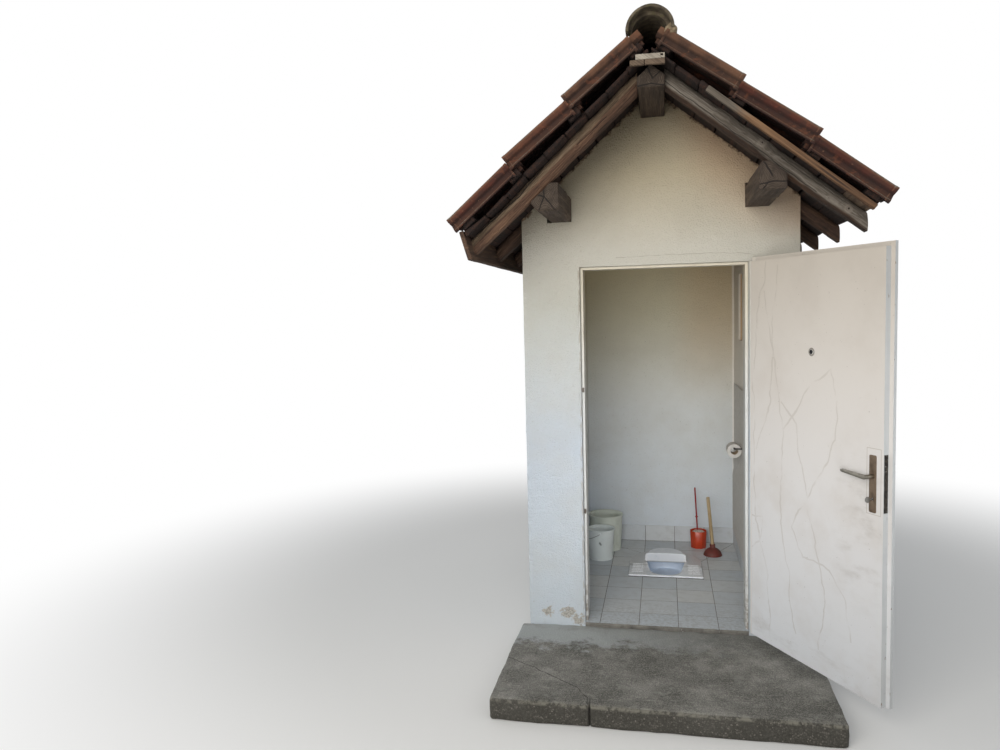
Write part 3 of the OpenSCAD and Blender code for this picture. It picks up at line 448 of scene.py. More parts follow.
def join(pieces):
    """Joins pieces into the first of them."""
    pick(pieces[0])
    for piece in pieces:
        piece.select_set(True)
    if len(pieces) > 1:
        bpy.ops.object.join()
    return bpy.context.object


def copy_of(*nodes):
    """One merged copy of CAD nodes, its flat faces whole again."""
    made = [twin(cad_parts[name]) for name in nodes]
    for copy in made:
        for key in list(copy.keys()):
            del copy[key]
        copy.parent = None
    copy = join(made)
    bpy.ops.mesh.customdata_custom_splitnormals_clear()
    with editing(copy):
        bpy.ops.mesh.remove_doubles(threshold=0.00005)
        bpy.ops.mesh.dissolve_limited(angle_limit=math.radians(0.5))
        bpy.ops.mesh.normals_make_consistent(inside=False)
    bpy.ops.object.shade_flat()
    copy.data.materials.clear()
    return copy


def paint_faces(obj, index, test):
    """Marks the faces that pass a test of their place and normal for the material of that number."""
    for polygon in obj.data.polygons:
        if test(polygon.center, polygon.normal):
            polygon.material_index = index


FLOOR = 0.115
TILE_X, TILE_Y = 0.2, 0.194
FIRST_X, FIRST_Y = -0.307, -0.693


def tile_colour(tree):
    cell = add(tree, "VectorMath", {0: where_at(tree), 1: (1 / TILE_X, 1 / TILE_Y, 1 / 0.3),
                                    2: (-FIRST_X / TILE_X, -FIRST_Y / TILE_Y, 0.6)}, operation="MULTIPLY_ADD")
    cell = add(tree, "VectorMath", {0: cell.outputs[0]}, operation="FLOOR")
    tile = add(tree, "TexWhiteNoise", {"Vector": cell.outputs[0]}).outputs["Value"]
    y = parts_of(tree)[1]
    return coats(
        tree, shades(tree, tile, (0.0, "b9c0c6"), (0.5, "c1c6ca"), (1.0, "c8caca")),
        ("9a9995", (noise(tree, 0.05, 6), 0.42, 0.72), 0.25),
        # Faint streaks of the glaze across each tile, and dirt trodden in by the doorway
        ("8b8a86", (noise(tree, 0.03, 4, (0.25, 1, 1)), 0.55, 0.7), 0.16),
        ("85827b", (y, -0.35, -0.85), (noise(tree, 0.016, 6), 0.4, 0.65), 0.4))


# Satin glaze, a little different on every tile, with the dirt of shoes on it
glazed = surface("glazed floor tile", tile_colour, 0.45, [(0.03, 2)], 0.0006)
# Dark cement grout, dirty and rough
grout = surface("cement grout", lambda t: shades(t, (0.05, 4), (0.35, "5d5b55"), (0.65, "7d7a73")), 0.9,
                [(0.003, 2)], 0.001)

tiles = copy_of("floor_tiles")
slice_up(tiles, 0, [FIRST_X + TILE_X * k for k in range(5)])
slice_up(tiles, 1, [FIRST_Y + TILE_Y * k for k in range(8)])
with editing(tiles):
    choose(lambda at, way: way.z > 0.9 and at.z > FLOOR - 0.001)
    bpy.ops.transform.translate(value=(0, 0, -0.0012))
    bpy.ops.mesh.inset(thickness=0.0016, depth=0.0012, use_individual=True)
for polygon in tiles.data.polygons:
    polygon.material_index = 0 if polygon.select else 1
settle(tiles, "floor_tiling", "floor_tile", [glazed, grout], "floor_tiles")

skirt = copy_of("skirting")
slice_up(skirt, 0, [FIRST_X + TILE_X * k for k in range(5)])
slice_up(skirt, 1, [-0.65 + TILE_X * k for k in range(7)])
with editing(skirt):
    choose(lambda at, way: abs(way.z) < 0.3 and abs(at.x) < 0.492 and at.y < 0.6765)
    bpy.ops.mesh.inset(thickness=0.0016, depth=0.001, use_individual=True)
for polygon in skirt.data.polygons:
    polygon.material_index = 0 if polygon.select or polygon.normal.z > 0.5 else 1
settle(skirt, "skirting_tiles", "floor_tile", [glazed, grout], "skirting")


def slab_colour(tree):
    return coats(tree, shades(tree, (0.05, 5), (0.35, "504e49"), (0.65, "77746d")),
                 ("c9c9c4", (noise(tree, 0.02, 3), 0.66, 0.69)))


# The slab's edge under the tiles, with drops of wall paint on it
slab_edge = surface("paint-spattered slab edge", slab_colour, 0.9, [(0.01, 4)], 0.002)
slab = copy_of("floor_base")
round_edges(slab, 0.002, 1)
settle(slab, "floor_slab", "concrete", [slab_edge], "floor_base")


# ---- Masonry walls
# Brick walls under one coat of rough lime plaster, painted white and yellowed under the roof. Its bluish tint
# below and its darkening under the roof are painted light and shade. Ragged brown mortar closes the gable
# against the boards and poles.

FRONT, SIDE = -0.86, 0.673
APEX = 2.808
RIDGE_X = -0.013
PITCH = {"left": math.radians(42.3), "right": math.radians(38.6)}
SIGN = {"left": -1, "right": 1}
LINTEL_CRACK = [(x, FRONT, z) for x, z in ((-0.20, 1.998), (0.043, 2.002), (0.25, 2.004), (0.43, 1.996),
                                           (0.47, 1.985))]


def plaster_colour(tree):
    x, y, z = parts_of(tree)
    level = add(tree, "MapRange", {"Value": z, "From Min": 0.1, "From Max": 2.8}).outputs[0]
    # Colour by height: bluish low down and darker under the roof, painted light and shade over the paint's
    # yellowing
    base = shades(tree, level, (0.0, "bfc8cf"), (0.35, "b3bbc4"), (0.62, "bdbdb5"), (0.72, "cfcbbf"),
                  (0.85, "cfc3a8"), (1.0, "bdae91"))
    room = product(tree, (x, -0.55, 0.55, 0.02), (y, -0.75, 0.75, 0.02))
    # Inside the room: bluish white low down and browner high up, painted light from the doorway and shade
    # above
    inside = shades(tree, level, (0.0, "d8e1ea"), (0.35, "dadcda"), (0.6, "d1c9ae"), (0.75, "cdbd95"))
    # Depth of the plaster below the boards' undersides, measured square to the nearer slope
    beside, below = sums(tree, "SUBTRACT", x, RIDGE_X), sums(tree, "SUBTRACT", APEX, z)
    gap = sums(tree, "MINIMUM", *(
        sums(tree, "ADD", product(tree, beside, -SIGN[side] * math.sin(PITCH[side])),
             product(tree, below, math.cos(PITCH[side]))) for side in PITCH))
    mortar = shades(tree, (0.02, 5), (0.36, "2b211b"), (0.5, "6a5644"), (0.64, "a08b72"))
    # Where the paint has come off at the foot of the left pier
    outside = product(tree, (y, FRONT + 0.02, FRONT + 0.01))
    ragged = wobbly(tree, 0.03, 0.09)
    patches = []
    for px, pz, share in ((-0.575, 0.16, 0.75), (-0.465, 0.165, 1.0), (-0.41, 0.13, 0.9)):
        off = add(tree, "VectorMath", {0: ragged, 1: (px, FRONT, pz)}, operation="DISTANCE").outputs["Value"]
        patches.append(product(tree, (off, 0.06, 0.005), share))
    bare = stirred(tree, sums(tree, "MAXIMUM", *patches), 1.3, 0.02, 6, rough=0.7)
    return coats(
        tree, base,
        # Painted light and shade of the room's inside
        (inside, room),
        ("caa67e", room, (x, 0.02, 0.3), (z, 1.0, 1.7), 0.35),
        # The wall on the right is brighter, the window lights it
        ("f4efe8", room, (x, 0.48, 0.49), 0.6),
        ("b5ac99", (noise(tree, 0.35, 5), 0.35, 0.75), 0.22),
        ("8c8474", (noise(tree, 0.011, 3), 0.66, 0.74), 0.4),
        # Painted shade under the roof, darkest close under the boards, and the warm stain beside the right
        # purlin
        ("8a7c67", (gap, 0.13, 0.0), 0.45),
        ("c39a7b", (gap, 0.36, 0.02), (x, 0.02, 0.3), (z, 2.0, 2.15), 0.45),
        (mortar, (stirred(tree, gap, 0.09, 0.05, 6, rough=0.75), 0.062, 0.046)),
        (shades(tree, (0.01, 4), (0.4, "7d7466"), (0.6, "b4ab9c")), (bare, 1.0, 1.25), outside, 0.75),
        # The brown lining of the window's opening
        ("c09c6b", (x, 0.507, 0.66, 0.006), (y, 0.11, 0.35, 0.012), (z, 1.525, 1.95, 0.012), 0.85),
        # Painted shade in the plaster's return beside the door frame, browner below
        ("8f7f69", (x, -0.3915, -0.382, 0.002), outside, (z, 1.97, 1.95),
         (noise(tree, 0.02, 5, (1, 1, 0.3)), 0.42, 0.6), 0.45),
        ("8c8271", along_line(tree, wobbly(tree, 0.04, 0.012), LINTEL_CRACK, 0.005),
         (noise(tree, 0.1, 3), 0.3, 0.6), 0.5),
        # Rain splashes darken the foot of the walls
        ("857f76", (stirred(tree, z, 0.16, 0.06, 5), 0.17, 0.07), 0.5))


# Rough-cast lime plaster: a hand-sized unevenness, and the grains of its sand
plaster = surface("painted lime plaster", plaster_colour, 0.93, [(0.007, 5), (0.06, 4)], 0.0075)

walls = ["front_wall_left", "front_wall_right", "front_gable", "left_wall", "right_wall", "rear_wall"]
masonry = copy_of(*walls)
round_edges(masonry, 0.004, 2, 50)
for axis, low, high in ((0, -SIDE, SIDE), (1, FRONT, -FRONT), (2, 0, 2.8)):
    slice_up(masonry, axis, steps(low, high, 0.06))
roughen(masonry, 0.005, 0.16)
# Their feet stay flat on the ground
with editing(masonry):
    choose(lambda at, way: at.z < 0.004, "VERT")
    bpy.ops.transform.resize(value=(1, 1, 0), center_override=(0, 0, 0))
smooth(masonry, 35)
settle(masonry, "plastered_masonry", "plaster", [plaster], *walls)


# ---- Purlins
# Three squared beams of old timber, hewn by axe and weathered grey, that reach out past both gables. Their
# sawn ends show the rings and have split from the heart.

def grain(obj, along, up, origin=(0, 0, 0)):
    """Stores every vertex's place along, across and up its piece, which the wood's grain follows."""
    along, up = Vector(along).normalized(), Vector(up).normalized()
    across = up.cross(along)
    values = []
    for vert in obj.data.vertices:
        place = vert.co - Vector(origin)
        values += [place.dot(along), place.dot(across), place.dot(up)]
    obj.data.attributes.new("grain", "FLOAT_VECTOR", "POINT").data.foreach_set("vector", values)


def wood_colour(tree, dark, middle, light, fibre=0.004):
    """Fibres, streaks and dark checks along the grain attribute."""
    both = sums(tree, "ADD", product(tree, noise(tree, fibre, 4, (0.02, 1, 1), "grain"), 0.5),
                product(tree, noise(tree, 0.03, 4, (0.08, 1, 1), "grain"), 0.5))
    return coats(tree, shades(tree, both, (0.36, dark), (0.5, middle), (0.62, light)),
                 ("19120d", (noise(tree, 0.012, 3, (0.015, 1, 1), "grain"), 0.66, 0.71), 0.8))


def fibre_bumps(fibre=0.004):
    """Raised fibres and the hollows between them."""
    return [(fibre, 4, (0.02, 1, 1), "grain"), (0.02, 3, (0.05, 1, 1), "grain")]


def timber(name, dark, middle, light, roughness=0.85, fibre=0.004, height=0.0025):
    """Wood in three tones."""
    return surface(name, lambda t: wood_colour(t, dark, middle, light, fibre), roughness,
                   fibre_bumps(fibre), height)


def end_grain(name, heart, splits):
    """The sawn end of a beam: rings round its heart, and splits that run from it."""
    def colour(tree):
        place = add(tree, "VectorMath", {0: where_at(tree), 1: heart}, operation="SUBTRACT").outputs[0]
        rings = add(tree, "TexWave", {"Vector": place, "Scale": 48, "Distortion": 5.0, "Detail": 3.0,
                                      "Detail Scale": 1.2}, wave_type="RINGS", rings_direction="Y")
        lines = [[(x, heart[1], z) for x, z in points] for points in splits]
        return coats(
            tree, shades(tree, rings.outputs["Fac"], (0.2, "372e27"), (0.8, "5b4f44")),
            ("2c241e", (noise(tree, 0.03, 5), 0.4, 0.65), 0.55),
            *(("130e0b", along_line(tree, wobbly(tree, 0.02, 0.008), line, 0.009), 0.9) for line in lines))
    return surface(name, colour, 0.92, [(0.006, 5)], 0.003)


# Old beams, dark grey-brown with checks
old_timber = timber("weathered beam timber", "271e18", "483b31", "665648")

for node, name, heart, splits in (
    ("ridge_purlin", "ridge_beam", (-0.004, -1.395, 2.706),
     [[(-0.07, 2.679), (-0.01, 2.684), (0.05, 2.673)], [(-0.004, 2.706), (-0.03, 2.76)],
      [(-0.004, 2.706), (0.03, 2.735)]]),
    ("left_purlin", "left_beam", (-0.478, -1.355, 2.246),
     [[(-0.484, 2.31), (-0.482, 2.246), (-0.43, 2.18)], [(-0.55, 2.262), (-0.482, 2.246)],
      [(-0.482, 2.246), (-0.51, 2.18)]]),
    ("right_purlin", "right_beam", (0.475, -1.42, 2.27),
     [[(0.41, 2.235), (0.475, 2.246), (0.54, 2.243)], [(0.475, 2.27), (0.44, 2.33)],
      [(0.455, 2.24), (0.43, 2.205)]]),
):
    beam = copy_of(node)
    low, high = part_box(node)
    if node == "left_purlin":
        # Both lower edges were hewn off, the left one further
        trim(beam, (low.x + 0.026, 0, low.z), (-1, 0, -0.8))
        trim(beam, (high.x - 0.012, 0, low.z), (1, 0, -0.9))
    if node == "right_purlin":
        trim(beam, (low.x + 0.014, 0, high.z), (-1, 0, 0.7))
        trim(beam, (high.x - 0.02, 0, high.z), (0.8, 0, 1))
    round_edges(beam, 0.006)
    for axis, gauge in ((1, 0.03), (0, 0.025), (2, 0.025)):
        slice_up(beam, axis, steps(low[axis], high[axis], gauge))
    roughen(beam, 0.009, 0.07)
    paint_faces(beam, 1, lambda at, way: abs(way.y) > 0.7 and abs(at.y) > 1.3)
    smooth(beam)
    grain(beam, (0, 1, 0), (0, 0, 1))
    # Sawn end with its rings and splits
    sawn = end_grain(name.replace("_", " ") + " end", heart, splits)
    settle(beam, name, "old_timber", [old_timber, sawn], node)


# ---- Rafter poles
# Six pairs of thin trunks, peeled, hewn flat above and below, cut plumb against the ridge beam. The front
# pair is weathered: silver-grey where the rain reaches it, reddish brown below.

def slope_axes(side):
    """The frame of a slope: X runs down it from the apex, Z stands off the undersides of its boards."""
    p = PITCH[side]
    down = Vector((SIGN[side] * math.cos(p), 0, -math.sin(p)))
    out = Vector((SIGN[side] * math.sin(p), 0, math.cos(p)))
    turned = Matrix((down, out.cross(down), out)).transposed().to_4x4()
    return Matrix.Translation((RIDGE_X, 0, APEX)) @ turned


def put(obj, place):
    """Moves obj there and leaves the place in its mesh."""
    obj.matrix_world = place
    pick(obj)
    bpy.ops.object.transform_apply()


POLE_R, POLE_H = 0.0385, 0.073
POLE_L = {"left": 1.094, "right": 1.113}
POLE_Y, POLE_GAUGE = -1.320, 0.528
BEAM_HALF = 0.0578


def pole(side, y, bend, swell):
    """One pole of that slope with its middle at y, bent a little there and swollen at that place."""
    length = POLE_L[side] + 0.14
    made = start(bpy.ops.mesh.primitive_cylinder_add, vertices=26, radius=POLE_R, depth=length,
                 location=(length / 2, 0, -POLE_H / 2), rotation=(0, math.pi / 2, 0))
    slice_up(made, 0, steps(0, length, 0.02))
    for part in (0.0, 0.012, 0.024):
        shift(made, lambda at, way: at.x > bend + part, (0, 0.0016, 0))
    with editing(made):
        for reach in (0.07, 0.045, 0.025):
            choose(lambda at, way: abs(at.x - swell) < reach, "VERT")
            bpy.ops.transform.resize(value=(1, 1.035, 1.03), center_override=(swell, 0, -POLE_H / 2))
    axes = slope_axes(side)
    sign = SIGN[side]
    put(made, axes @ Matrix.Translation((0, sign * y, 0)))
    roughen(made, 0.014, 0.07)
    roughen(made, 0.005, 0.02)
    out = axes.col[2].xyz
    grain(made, axes.col[0].xyz, out, axes.translation)
    trim(made, axes.translation, out)
    trim(made, axes.translation - out * POLE_H, -out)
    # The underside is hewn off more towards the foot
    trim(made, axes @ Vector((POLE_L[side] * 0.78, 0, -POLE_H)), axes.to_3x3() @ Vector((0.035, 0, -1)))
    trim(made, (RIDGE_X + sign * BEAM_HALF, 0, 0), (-sign, 0, 0))
    lean = math.radians(17 if side == "left" else 0)
    end = axes @ Vector((POLE_L[side], 0, 0))
    trim(made, end, (sign * math.cos(lean), 0, -math.sin(lean)))
    smooth(made, 45)
    return made


def pole_wood(name, silver, brown, level, splits, knots):
    """A front pole: silvered above that level of its side and brown below it, with its splits and knots."""
    def colour(tree):
        u, _, w = parts_of(tree, "grain")
        flat = add(tree, "CombineXYZ", {0: u, 2: w}).outputs[0]
        turn = stirred(tree, w, 0.03, 0.07, 4, (0.3, 1, 1), "grain")
        layers = [(wood_colour(tree, *silver), (turn, level + 0.010, level + 0.020))]
        for points, wide in splits:
            split = along_line(tree, wobbly(tree, 0.06, 0.01, where=flat), points, wide)
            layers.append(("120c08", split, 0.9))
        for along, up in knots:
            off = add(tree, "VectorMath", {0: flat, 1: (along, 0, up)}, operation="DISTANCE").outputs["Value"]
            off = stirred(tree, off, 0.012, 0.02, 3, source="grain")
            rim = product(tree, (off, 0.014, 0.017, 0.003), 0.5)
            layers += [("8f857a", (off, 0.030, 0.016), 0.7),
                       ("2a211a", sums(tree, "MAXIMUM", (off, 0.012, 0.008), rim))]
        return coats(tree, wood_colour(tree, *brown), *layers)
    return surface(name, colour, 0.86, fibre_bumps(), 0.006)


# Left front pole, grey-tan above, with a long split in its lower half
left_wood = pole_wood("left front pole", ("3f3227", "72604c", "94806a"), ("33231a", "614737", "82634c"),
                      -0.036, [([(0.64, -0.006), (0.80, -0.022), (1.04, -0.006)], 0.007),
                               ([(0.30, -0.05), (0.47, -0.043)], 0.004)], [])
# Right front pole, silver-grey with two knots, the bark still on below and painted darker there as its shade
right_wood = pole_wood("right front pole", ("3a342e", "645c53", "8d857b"), ("1f1610", "38271b", "523a29"),
                       -0.058, [([(0.08, -0.047), (0.45, -0.052), (0.9, -0.055)], 0.004),
                                ([(0.7, -0.028), (1.02, -0.022)], 0.003)],
                       [(0.599, -0.022), (1.045, -0.036)])
# The poles behind, brown where no rain reaches them
brown_wood = timber("brown pole", "251a13", "493427", "68503d")

left_pole = pole("left", POLE_Y, 0.45, 0.41)
dress(left_pole, left_wood)
right_pole = pole("right", POLE_Y, 0.62, 0.60)
dress(right_pole, right_wood)
settle(join([left_pole, right_pole]), "front_poles", "old_timber", [left_wood, right_wood],
       "front_rafters")
inner = []
for side in ("left", "right"):
    first = pole(side, POLE_Y + POLE_GAUGE, 0.5, 0.3)
    inner.append(first)
    for k in range(1, 5):
        inner.append(twin(first))
        put(inner[-1], Matrix.Translation((0, POLE_GAUGE * k, 0)))
settle(join(inner), "inner_poles", "old_timber", [brown_wood], "inner_rafters")


# ---- Boards and battens
# Nine rough-sawn boards laid across the poles of each slope, their front ends rounded by rot and no two
# cut to the same length, and the battens on them. Boards and battens are painted near-black, partly as the
# shade under the tiles.

# Boards turned brown under the tiles, painted darker still as the shade there
shaded_board_wood = timber("dark sawn board", "110805", "21110a", "3a2216", 0.9, 0.005)
# The lowest board on the right, put in later
newer_wood = timber("newer board", "3d3026", "6a5848", "8c7965", 0.9, 0.005)

BOARDS, JOINT = 9, 0.003
# How far from the middle of the house each part of a board's shortening starts
ROTTEN = ((1.35, 0.3), (1.39, 0.3), (1.425, 0.4))
random.seed(11)
for node, name, reach in (("left_boards", "left_boarding", 1.066), ("right_boards", "right_boarding", 1.113)):
    side = node.split("_")[0]
    boards = copy_of(node)
    axes = slope_axes(side)
    back = axes.inverted()
    wide = (reach - JOINT) / BOARDS
    slice_up(boards, 1, [-1.43, -1.40, -1.36, -1.30, -1.22] + steps(-1.1, 1.1, 0.2) + [1.22, 1.36, 1.43])
    round_edges(boards, 0.005)
    for k in range(BOARDS):
        upper, lower = JOINT + k * wide, JOINT + (k + 1) * wide
        for end in (-1, 1):
            slip = end * random.uniform(-0.042, 0.001)
            drop = -0.003 - random.uniform(0, 0.010)
            for past, share in ROTTEN:
                shift(boards, lambda at, way: upper < (back @ at).x < lower and at.y * end > past,
                      (0, slip * share, 0))
            # The upper corner of its end has rotted off
            shift(boards, lambda at, way: (upper < (back @ at).x < lower and at.y * end > 1.41
                                           and (back @ at).z > 0.015), axes.col[2].xyz * drop)
    roughen(boards, 0.019, 0.03)
    if side == "right":
        paint_faces(boards, 1, lambda at, way: (back @ at).x > JOINT + (BOARDS - 1) * wide and at.y < -1.3)
    grain(boards, (0, 1, 0), axes.col[2].xyz)
    smooth(boards, 45)
    settle(boards, name, "board_timber", [shaded_board_wood, newer_wood], node)

laths = copy_of("battens")
round_edges(laths, 0.002, 1)
grain(laths, (0, 1, 0), (0, 0, 1))
settle(laths, "tile_battens", "board_timber", [shaded_board_wood], "battens")

eave = copy_of("eave_board")
round_edges(eave, 0.002, 1)
slice_up(eave, 1, steps(-1.455, 1.455, 0.06))
roughen(eave, 0.003, 0.08)
grain(eave, (0, 1, 0), (0, 0, 1))
smooth(eave)
settle(eave, "eave_fascia", "board_timber", [brown_wood], "eave_board")


# ---- Verge lath and sticks
# A newer lath along the ends of the right boards, grey and splintered at its upper end, and three short
# offcuts nailed across under the ridge: a bleached one above two brown ones.

def cut_away(obj, middle, size):
    """Takes a block of that size out of obj."""
    block = start(bpy.ops.mesh.primitive_cube_add, size=1, location=middle, scale=size)
    modify(obj, "BOOLEAN", object=block, operation="DIFFERENCE")
    bpy.data.objects.remove(block)


def lath_colour(tree):
    aged = stirred(tree, parts_of(tree, "grain")[0], 0.2, 0.03, 4, (0.3, 1, 1), "grain")
    return coats(tree, wood_colour(tree, "3d2a1b", "664a33", "86674a"),
                 (wood_colour(tree, "3a332c", "685f54", "8c8377"), (aged, 0.62, 0.5)))


# Sawn softwood, tan, weathered grey at one end
lath_wood = surface("tan lath", lath_colour, 0.85, fibre_bumps(), 0.0015)
# Offcut that the sun has bleached
pale_wood = timber("bleached offcut", "6f675c", "a1988a", "beb6a8", 0.85)
# Brown-grey offcuts
dull_wood = timber("brown offcut", "3a3027", "665546", "84725f", 0.88)
OFFCUT_X, PALE_Z = 0.1, 2.7632
verge = copy_of("roof_laths")
axes = slope_axes("right")
slice_up(verge, 0, steps(0.2, 0.86, 0.04) + steps(-0.1, 0.05, 0.02))
round_edges(verge, 0.0018, 1)
roughen(verge, 0.003, 0.02)
# The nail hole at the end of the bleached offcut
cut_away(verge, (0.034, -1.466, 2.777), (0.011, 0.03, 0.009))
paint_faces(verge, 1, lambda at, way: at.x < OFFCUT_X and at.z > PALE_Z)
paint_faces(verge, 2, lambda at, way: at.x < OFFCUT_X and at.z <= PALE_Z)
grain(verge, axes.col[0].xyz, axes.col[2].xyz, axes.translation)
smooth(verge)
settle(verge, "laths_and_sticks", "lath_timber", [lath_wood, pale_wood, dull_wood], "roof_laths")


# ---- Roof tiles
# Pressed clay tiles with a roll along both edges and a rib in the middle. Each hooks over a batten and lies
# on the heads of the next course; a verge tile has a ribbed flange that hangs down over the boards' ends,
# and its head is notched to clear the flange above it.

TILE_L, TILE_T, TILE_ROLL = 0.405, 0.0257, 0.017
TILES = 14
TILE_W = 2.95 / TILES
HEAD_LAP, TILE_STEP, BATTEN_TOP, FLANGE = 0.032, 0.026, 0.057, 0.065
TILE_GAP, RIB, NOTCH = 0.0008, 0.014, 0.032
NIB = (0.019, 0.026, 0.02)


def make_tile(show):
    """One tile from its head at the origin, with a flange along its far edge for as far as it shows."""
    side = TILE_W - TILE_GAP
    hidden = TILE_L - show
    made = start(bpy.ops.mesh.primitive_cube_add, size=1, location=(TILE_L / 2, TILE_W / 2, -TILE_T / 2),
                 scale=(TILE_L, TILE_W - 2 * TILE_GAP, TILE_T))
    # How high the tile rises across its width, as parts of the roll
    levels = {0.1: 1, 0.14: 0.5, 0.18: 0, 0.42: 0, 0.45: 0.35, 0.48: 0.55, 0.56: 0.55, 0.59: 0.35, 0.62: 0,
              0.86: 0, 0.9: 0.5, 0.94: 1}
    slice_up(made, 1, [TILE_W * part for part in levels])
    if show:
        slice_up(made, 0, [hidden, hidden + 0.010, hidden + RIB, TILE_L - 0.018, TILE_L - RIB])
    else:
        slice_up(made, 0, [0.1, 0.3])
    with editing(made):
        for part, level in {0: 1, 1: 1, **levels}.items():
            if level:
                choose(lambda at, way: abs(at.y - TILE_W * part) < 0.002, "VERT")
                bpy.ops.transform.translate(value=(0, 0, level * TILE_ROLL))
        if show:
            choose(lambda at, way: way.z < -0.9 and at.y > 0.94 * TILE_W and at.x > hidden)
            bpy.ops.mesh.extrude_region_move(TRANSFORM_OT_translate={"value": (0, 0, TILE_T - FLANGE)})
        # The two nibs that hook over the batten
        for part in (0.3, 0.74):
            middle = (0.0195, TILE_W * part, -TILE_T - 0.0095)
            bpy.ops.mesh.primitive_cube_add(size=1, location=middle, scale=NIB)
    if show:
        foot = TILE_ROLL - FLANGE
        slice_up(made, 2, [foot + 0.006, foot + 0.010, -0.019, -0.014, -0.008, 0.002, 0.010])
        # Round above, hollow in the middle and with a lip below, with a rib at either end
        for bottom, top, out in ((-0.010, -0.006, 0.004), (0.0, 0.004, 0.0065), (0.008, 0.012, 0.0045),
                                 (0.015, 0.02, -0.001), (foot + 0.009, -0.017, -0.0065)):
            shift(made, lambda at, way: at.y > side - 0.001 and at.x > hidden - 0.001 and bottom < at.z < top,
                  (0, out, 0))
        shift(made, lambda at, way: at.y > side - 0.009 and at.x > TILE_L - 0.0145, (0, 0.004, 0))
        shift(made, lambda at, way: at.y > side - 0.009 and hidden - 0.001 < at.x < hidden + 0.0105,
              (0, 0.0035, 0))
        # The ribs reach further down than the flange between them
        for rib, drop in ((lambda x: x > TILE_L - RIB, -0.005), (lambda x: x < hidden + 0.011, -0.010)):
            shift(made, lambda at, way: way.z < -0.9 and at.z < foot + 0.002 and rib(at.x), (0, 0, drop),
                  "FACE")
        shift(made, lambda at, way: at.z < foot + 0.013 and at.x > TILE_L - 0.001, (0.004, 0, 0))
        # The notch beside the flange of the tile above
        cut_away(made, ((hidden - 0.011) / 2, TILE_W, 0), (hidden + 0.009, NOTCH, 0.12))
    round_edges(made, 0.0026, 2)
    # Each point's place on the tile, which its painted shade and light follow
    made.data.attributes.new("tile", "FLOAT_VECTOR", "POINT").data.foreach_set(
        "vector", [part for vert in made.data.vertices for part in vert.co])
    return made


def clay_colour(tree):
    tone = add(tree, "Attribute", attribute_name="tone").outputs["Fac"]
    z = parts_of(tree, "tile")[2]
    crust = shades(tree, (0.01, 4), (0.35, "484239"), (0.5, "6a6256"), (0.65, "857c6e"))
    return coats(
        tree, shades(tree, tone, (0.0, "39160d"), (0.45, "502214"), (0.8, "62311d"), (1.0, "5f4432")),
        ("2a1913", (noise(tree, 0.07, 6), 0.36, 0.66), 0.8),
        # Painted shade low on each flange, under its roll
        ("1d0f0b", (z, -0.004, -0.020), 0.72),
        # Painted light on the top of the roll and on faces turned up
        ("875d44", sums(tree, "MAXIMUM", (faces_way(tree, 2), -0.15, 0.5), (z, 0.002, 0.015)), 0.45),
        ("834d33", (noise(tree, 0.045, 5, (1, 1, 1.6)), 0.55, 0.68), 0.3),
        ("9c745a", (noise(tree, 0.012, 5), 0.64, 0.72), 0.35),
        (crust, (faces_way(tree, 2), 0.3, 0.75), (noise(tree, 0.06, 6), 0.32, 0.56)))


# Fired clay, dark brown-red as partly painted shade, grey with lichen on top, shaded low on the flanges
# and lit on the roll as painted light; the bumps are its pits and crust
clay = surface("weathered fired clay", clay_colour, 0.88, [(0.006, 5)], 0.0018)

plain_tile = make_tile(0)
random.seed(5)
for side, gauge in (("left", 0.356), ("right", 0.375)):
    tip0 = math.asin(TILE_STEP / gauge)
    verge_tile = make_tile(gauge - 0.0012)
    head = (BATTEN_TOP + 0.0003 + TILE_T / math.cos(tip0) + (TILE_L - HEAD_LAP) * math.tan(tip0)
            - TILE_L * math.sin(tip0))
    for row, course in enumerate(("upper", "middle", "lower")):
        tip = tip0 if row < 2 else math.radians(1.5)
        axes = slope_axes(side) @ Matrix.Translation((0.388 + row * gauge, 0, head + TILE_L * math.sin(tip)))
        axes = axes @ Matrix.Rotation(-tip, 4, "Y") @ Matrix.Translation((-TILE_L, 0, 0))
        pieces = []
        for k in range(TILES):
            tile = twin(verge_tile if k in (0, TILES - 1) else plain_tile)
            tone = tile.data.attributes.new("tone", "FLOAT", "POINT")
            tone.data.foreach_set("value", [random.random()] * len(tile.data.vertices))
            slip = random.uniform(-0.002, 0.001), TILE_W * (k - TILES / 2), random.uniform(0, 0.0006)
            slip = Matrix.Translation(slip)
            if k == 0:
                # The front verge tile is the mirror image of the rear one
                slip = slip @ Matrix.Translation((0, TILE_W, 0)) @ Matrix.Scale(-1, 4, (0, 1, 0))
            put(tile, axes @ slip)
            pieces.append(tile)
        rows = join(pieces)
        with editing(rows):
            bpy.ops.mesh.normals_make_consistent(inside=False)
        smooth(rows)
        settle(rows, f"{side}_{course}_clay", "roof_tile", [clay], f"{side}_{course}_tiles")
    bpy.data.objects.remove(verge_tile)
bpy.data.objects.remove(plain_tile)


# ---- Ridge tiles
# Half-round clay tiles whose collars lap over the tails in front of them, olive-grey with moss, and a lump
# of the mortar that beds the first one.

def ridge_colour(tree):
    return coats(tree, shades(tree, (0.04, 6), (0.35, "393127"), (0.5, "544a3c"), (0.66, "766b59")),
                 ("514e30", (noise(tree, 0.02, 5), 0.52, 0.64), 0.6))


# Old clay under lichen and moss
ridge_clay = surface("mossy ridge clay", ridge_colour, 0.9, [(0.008, 5)], 0.003)
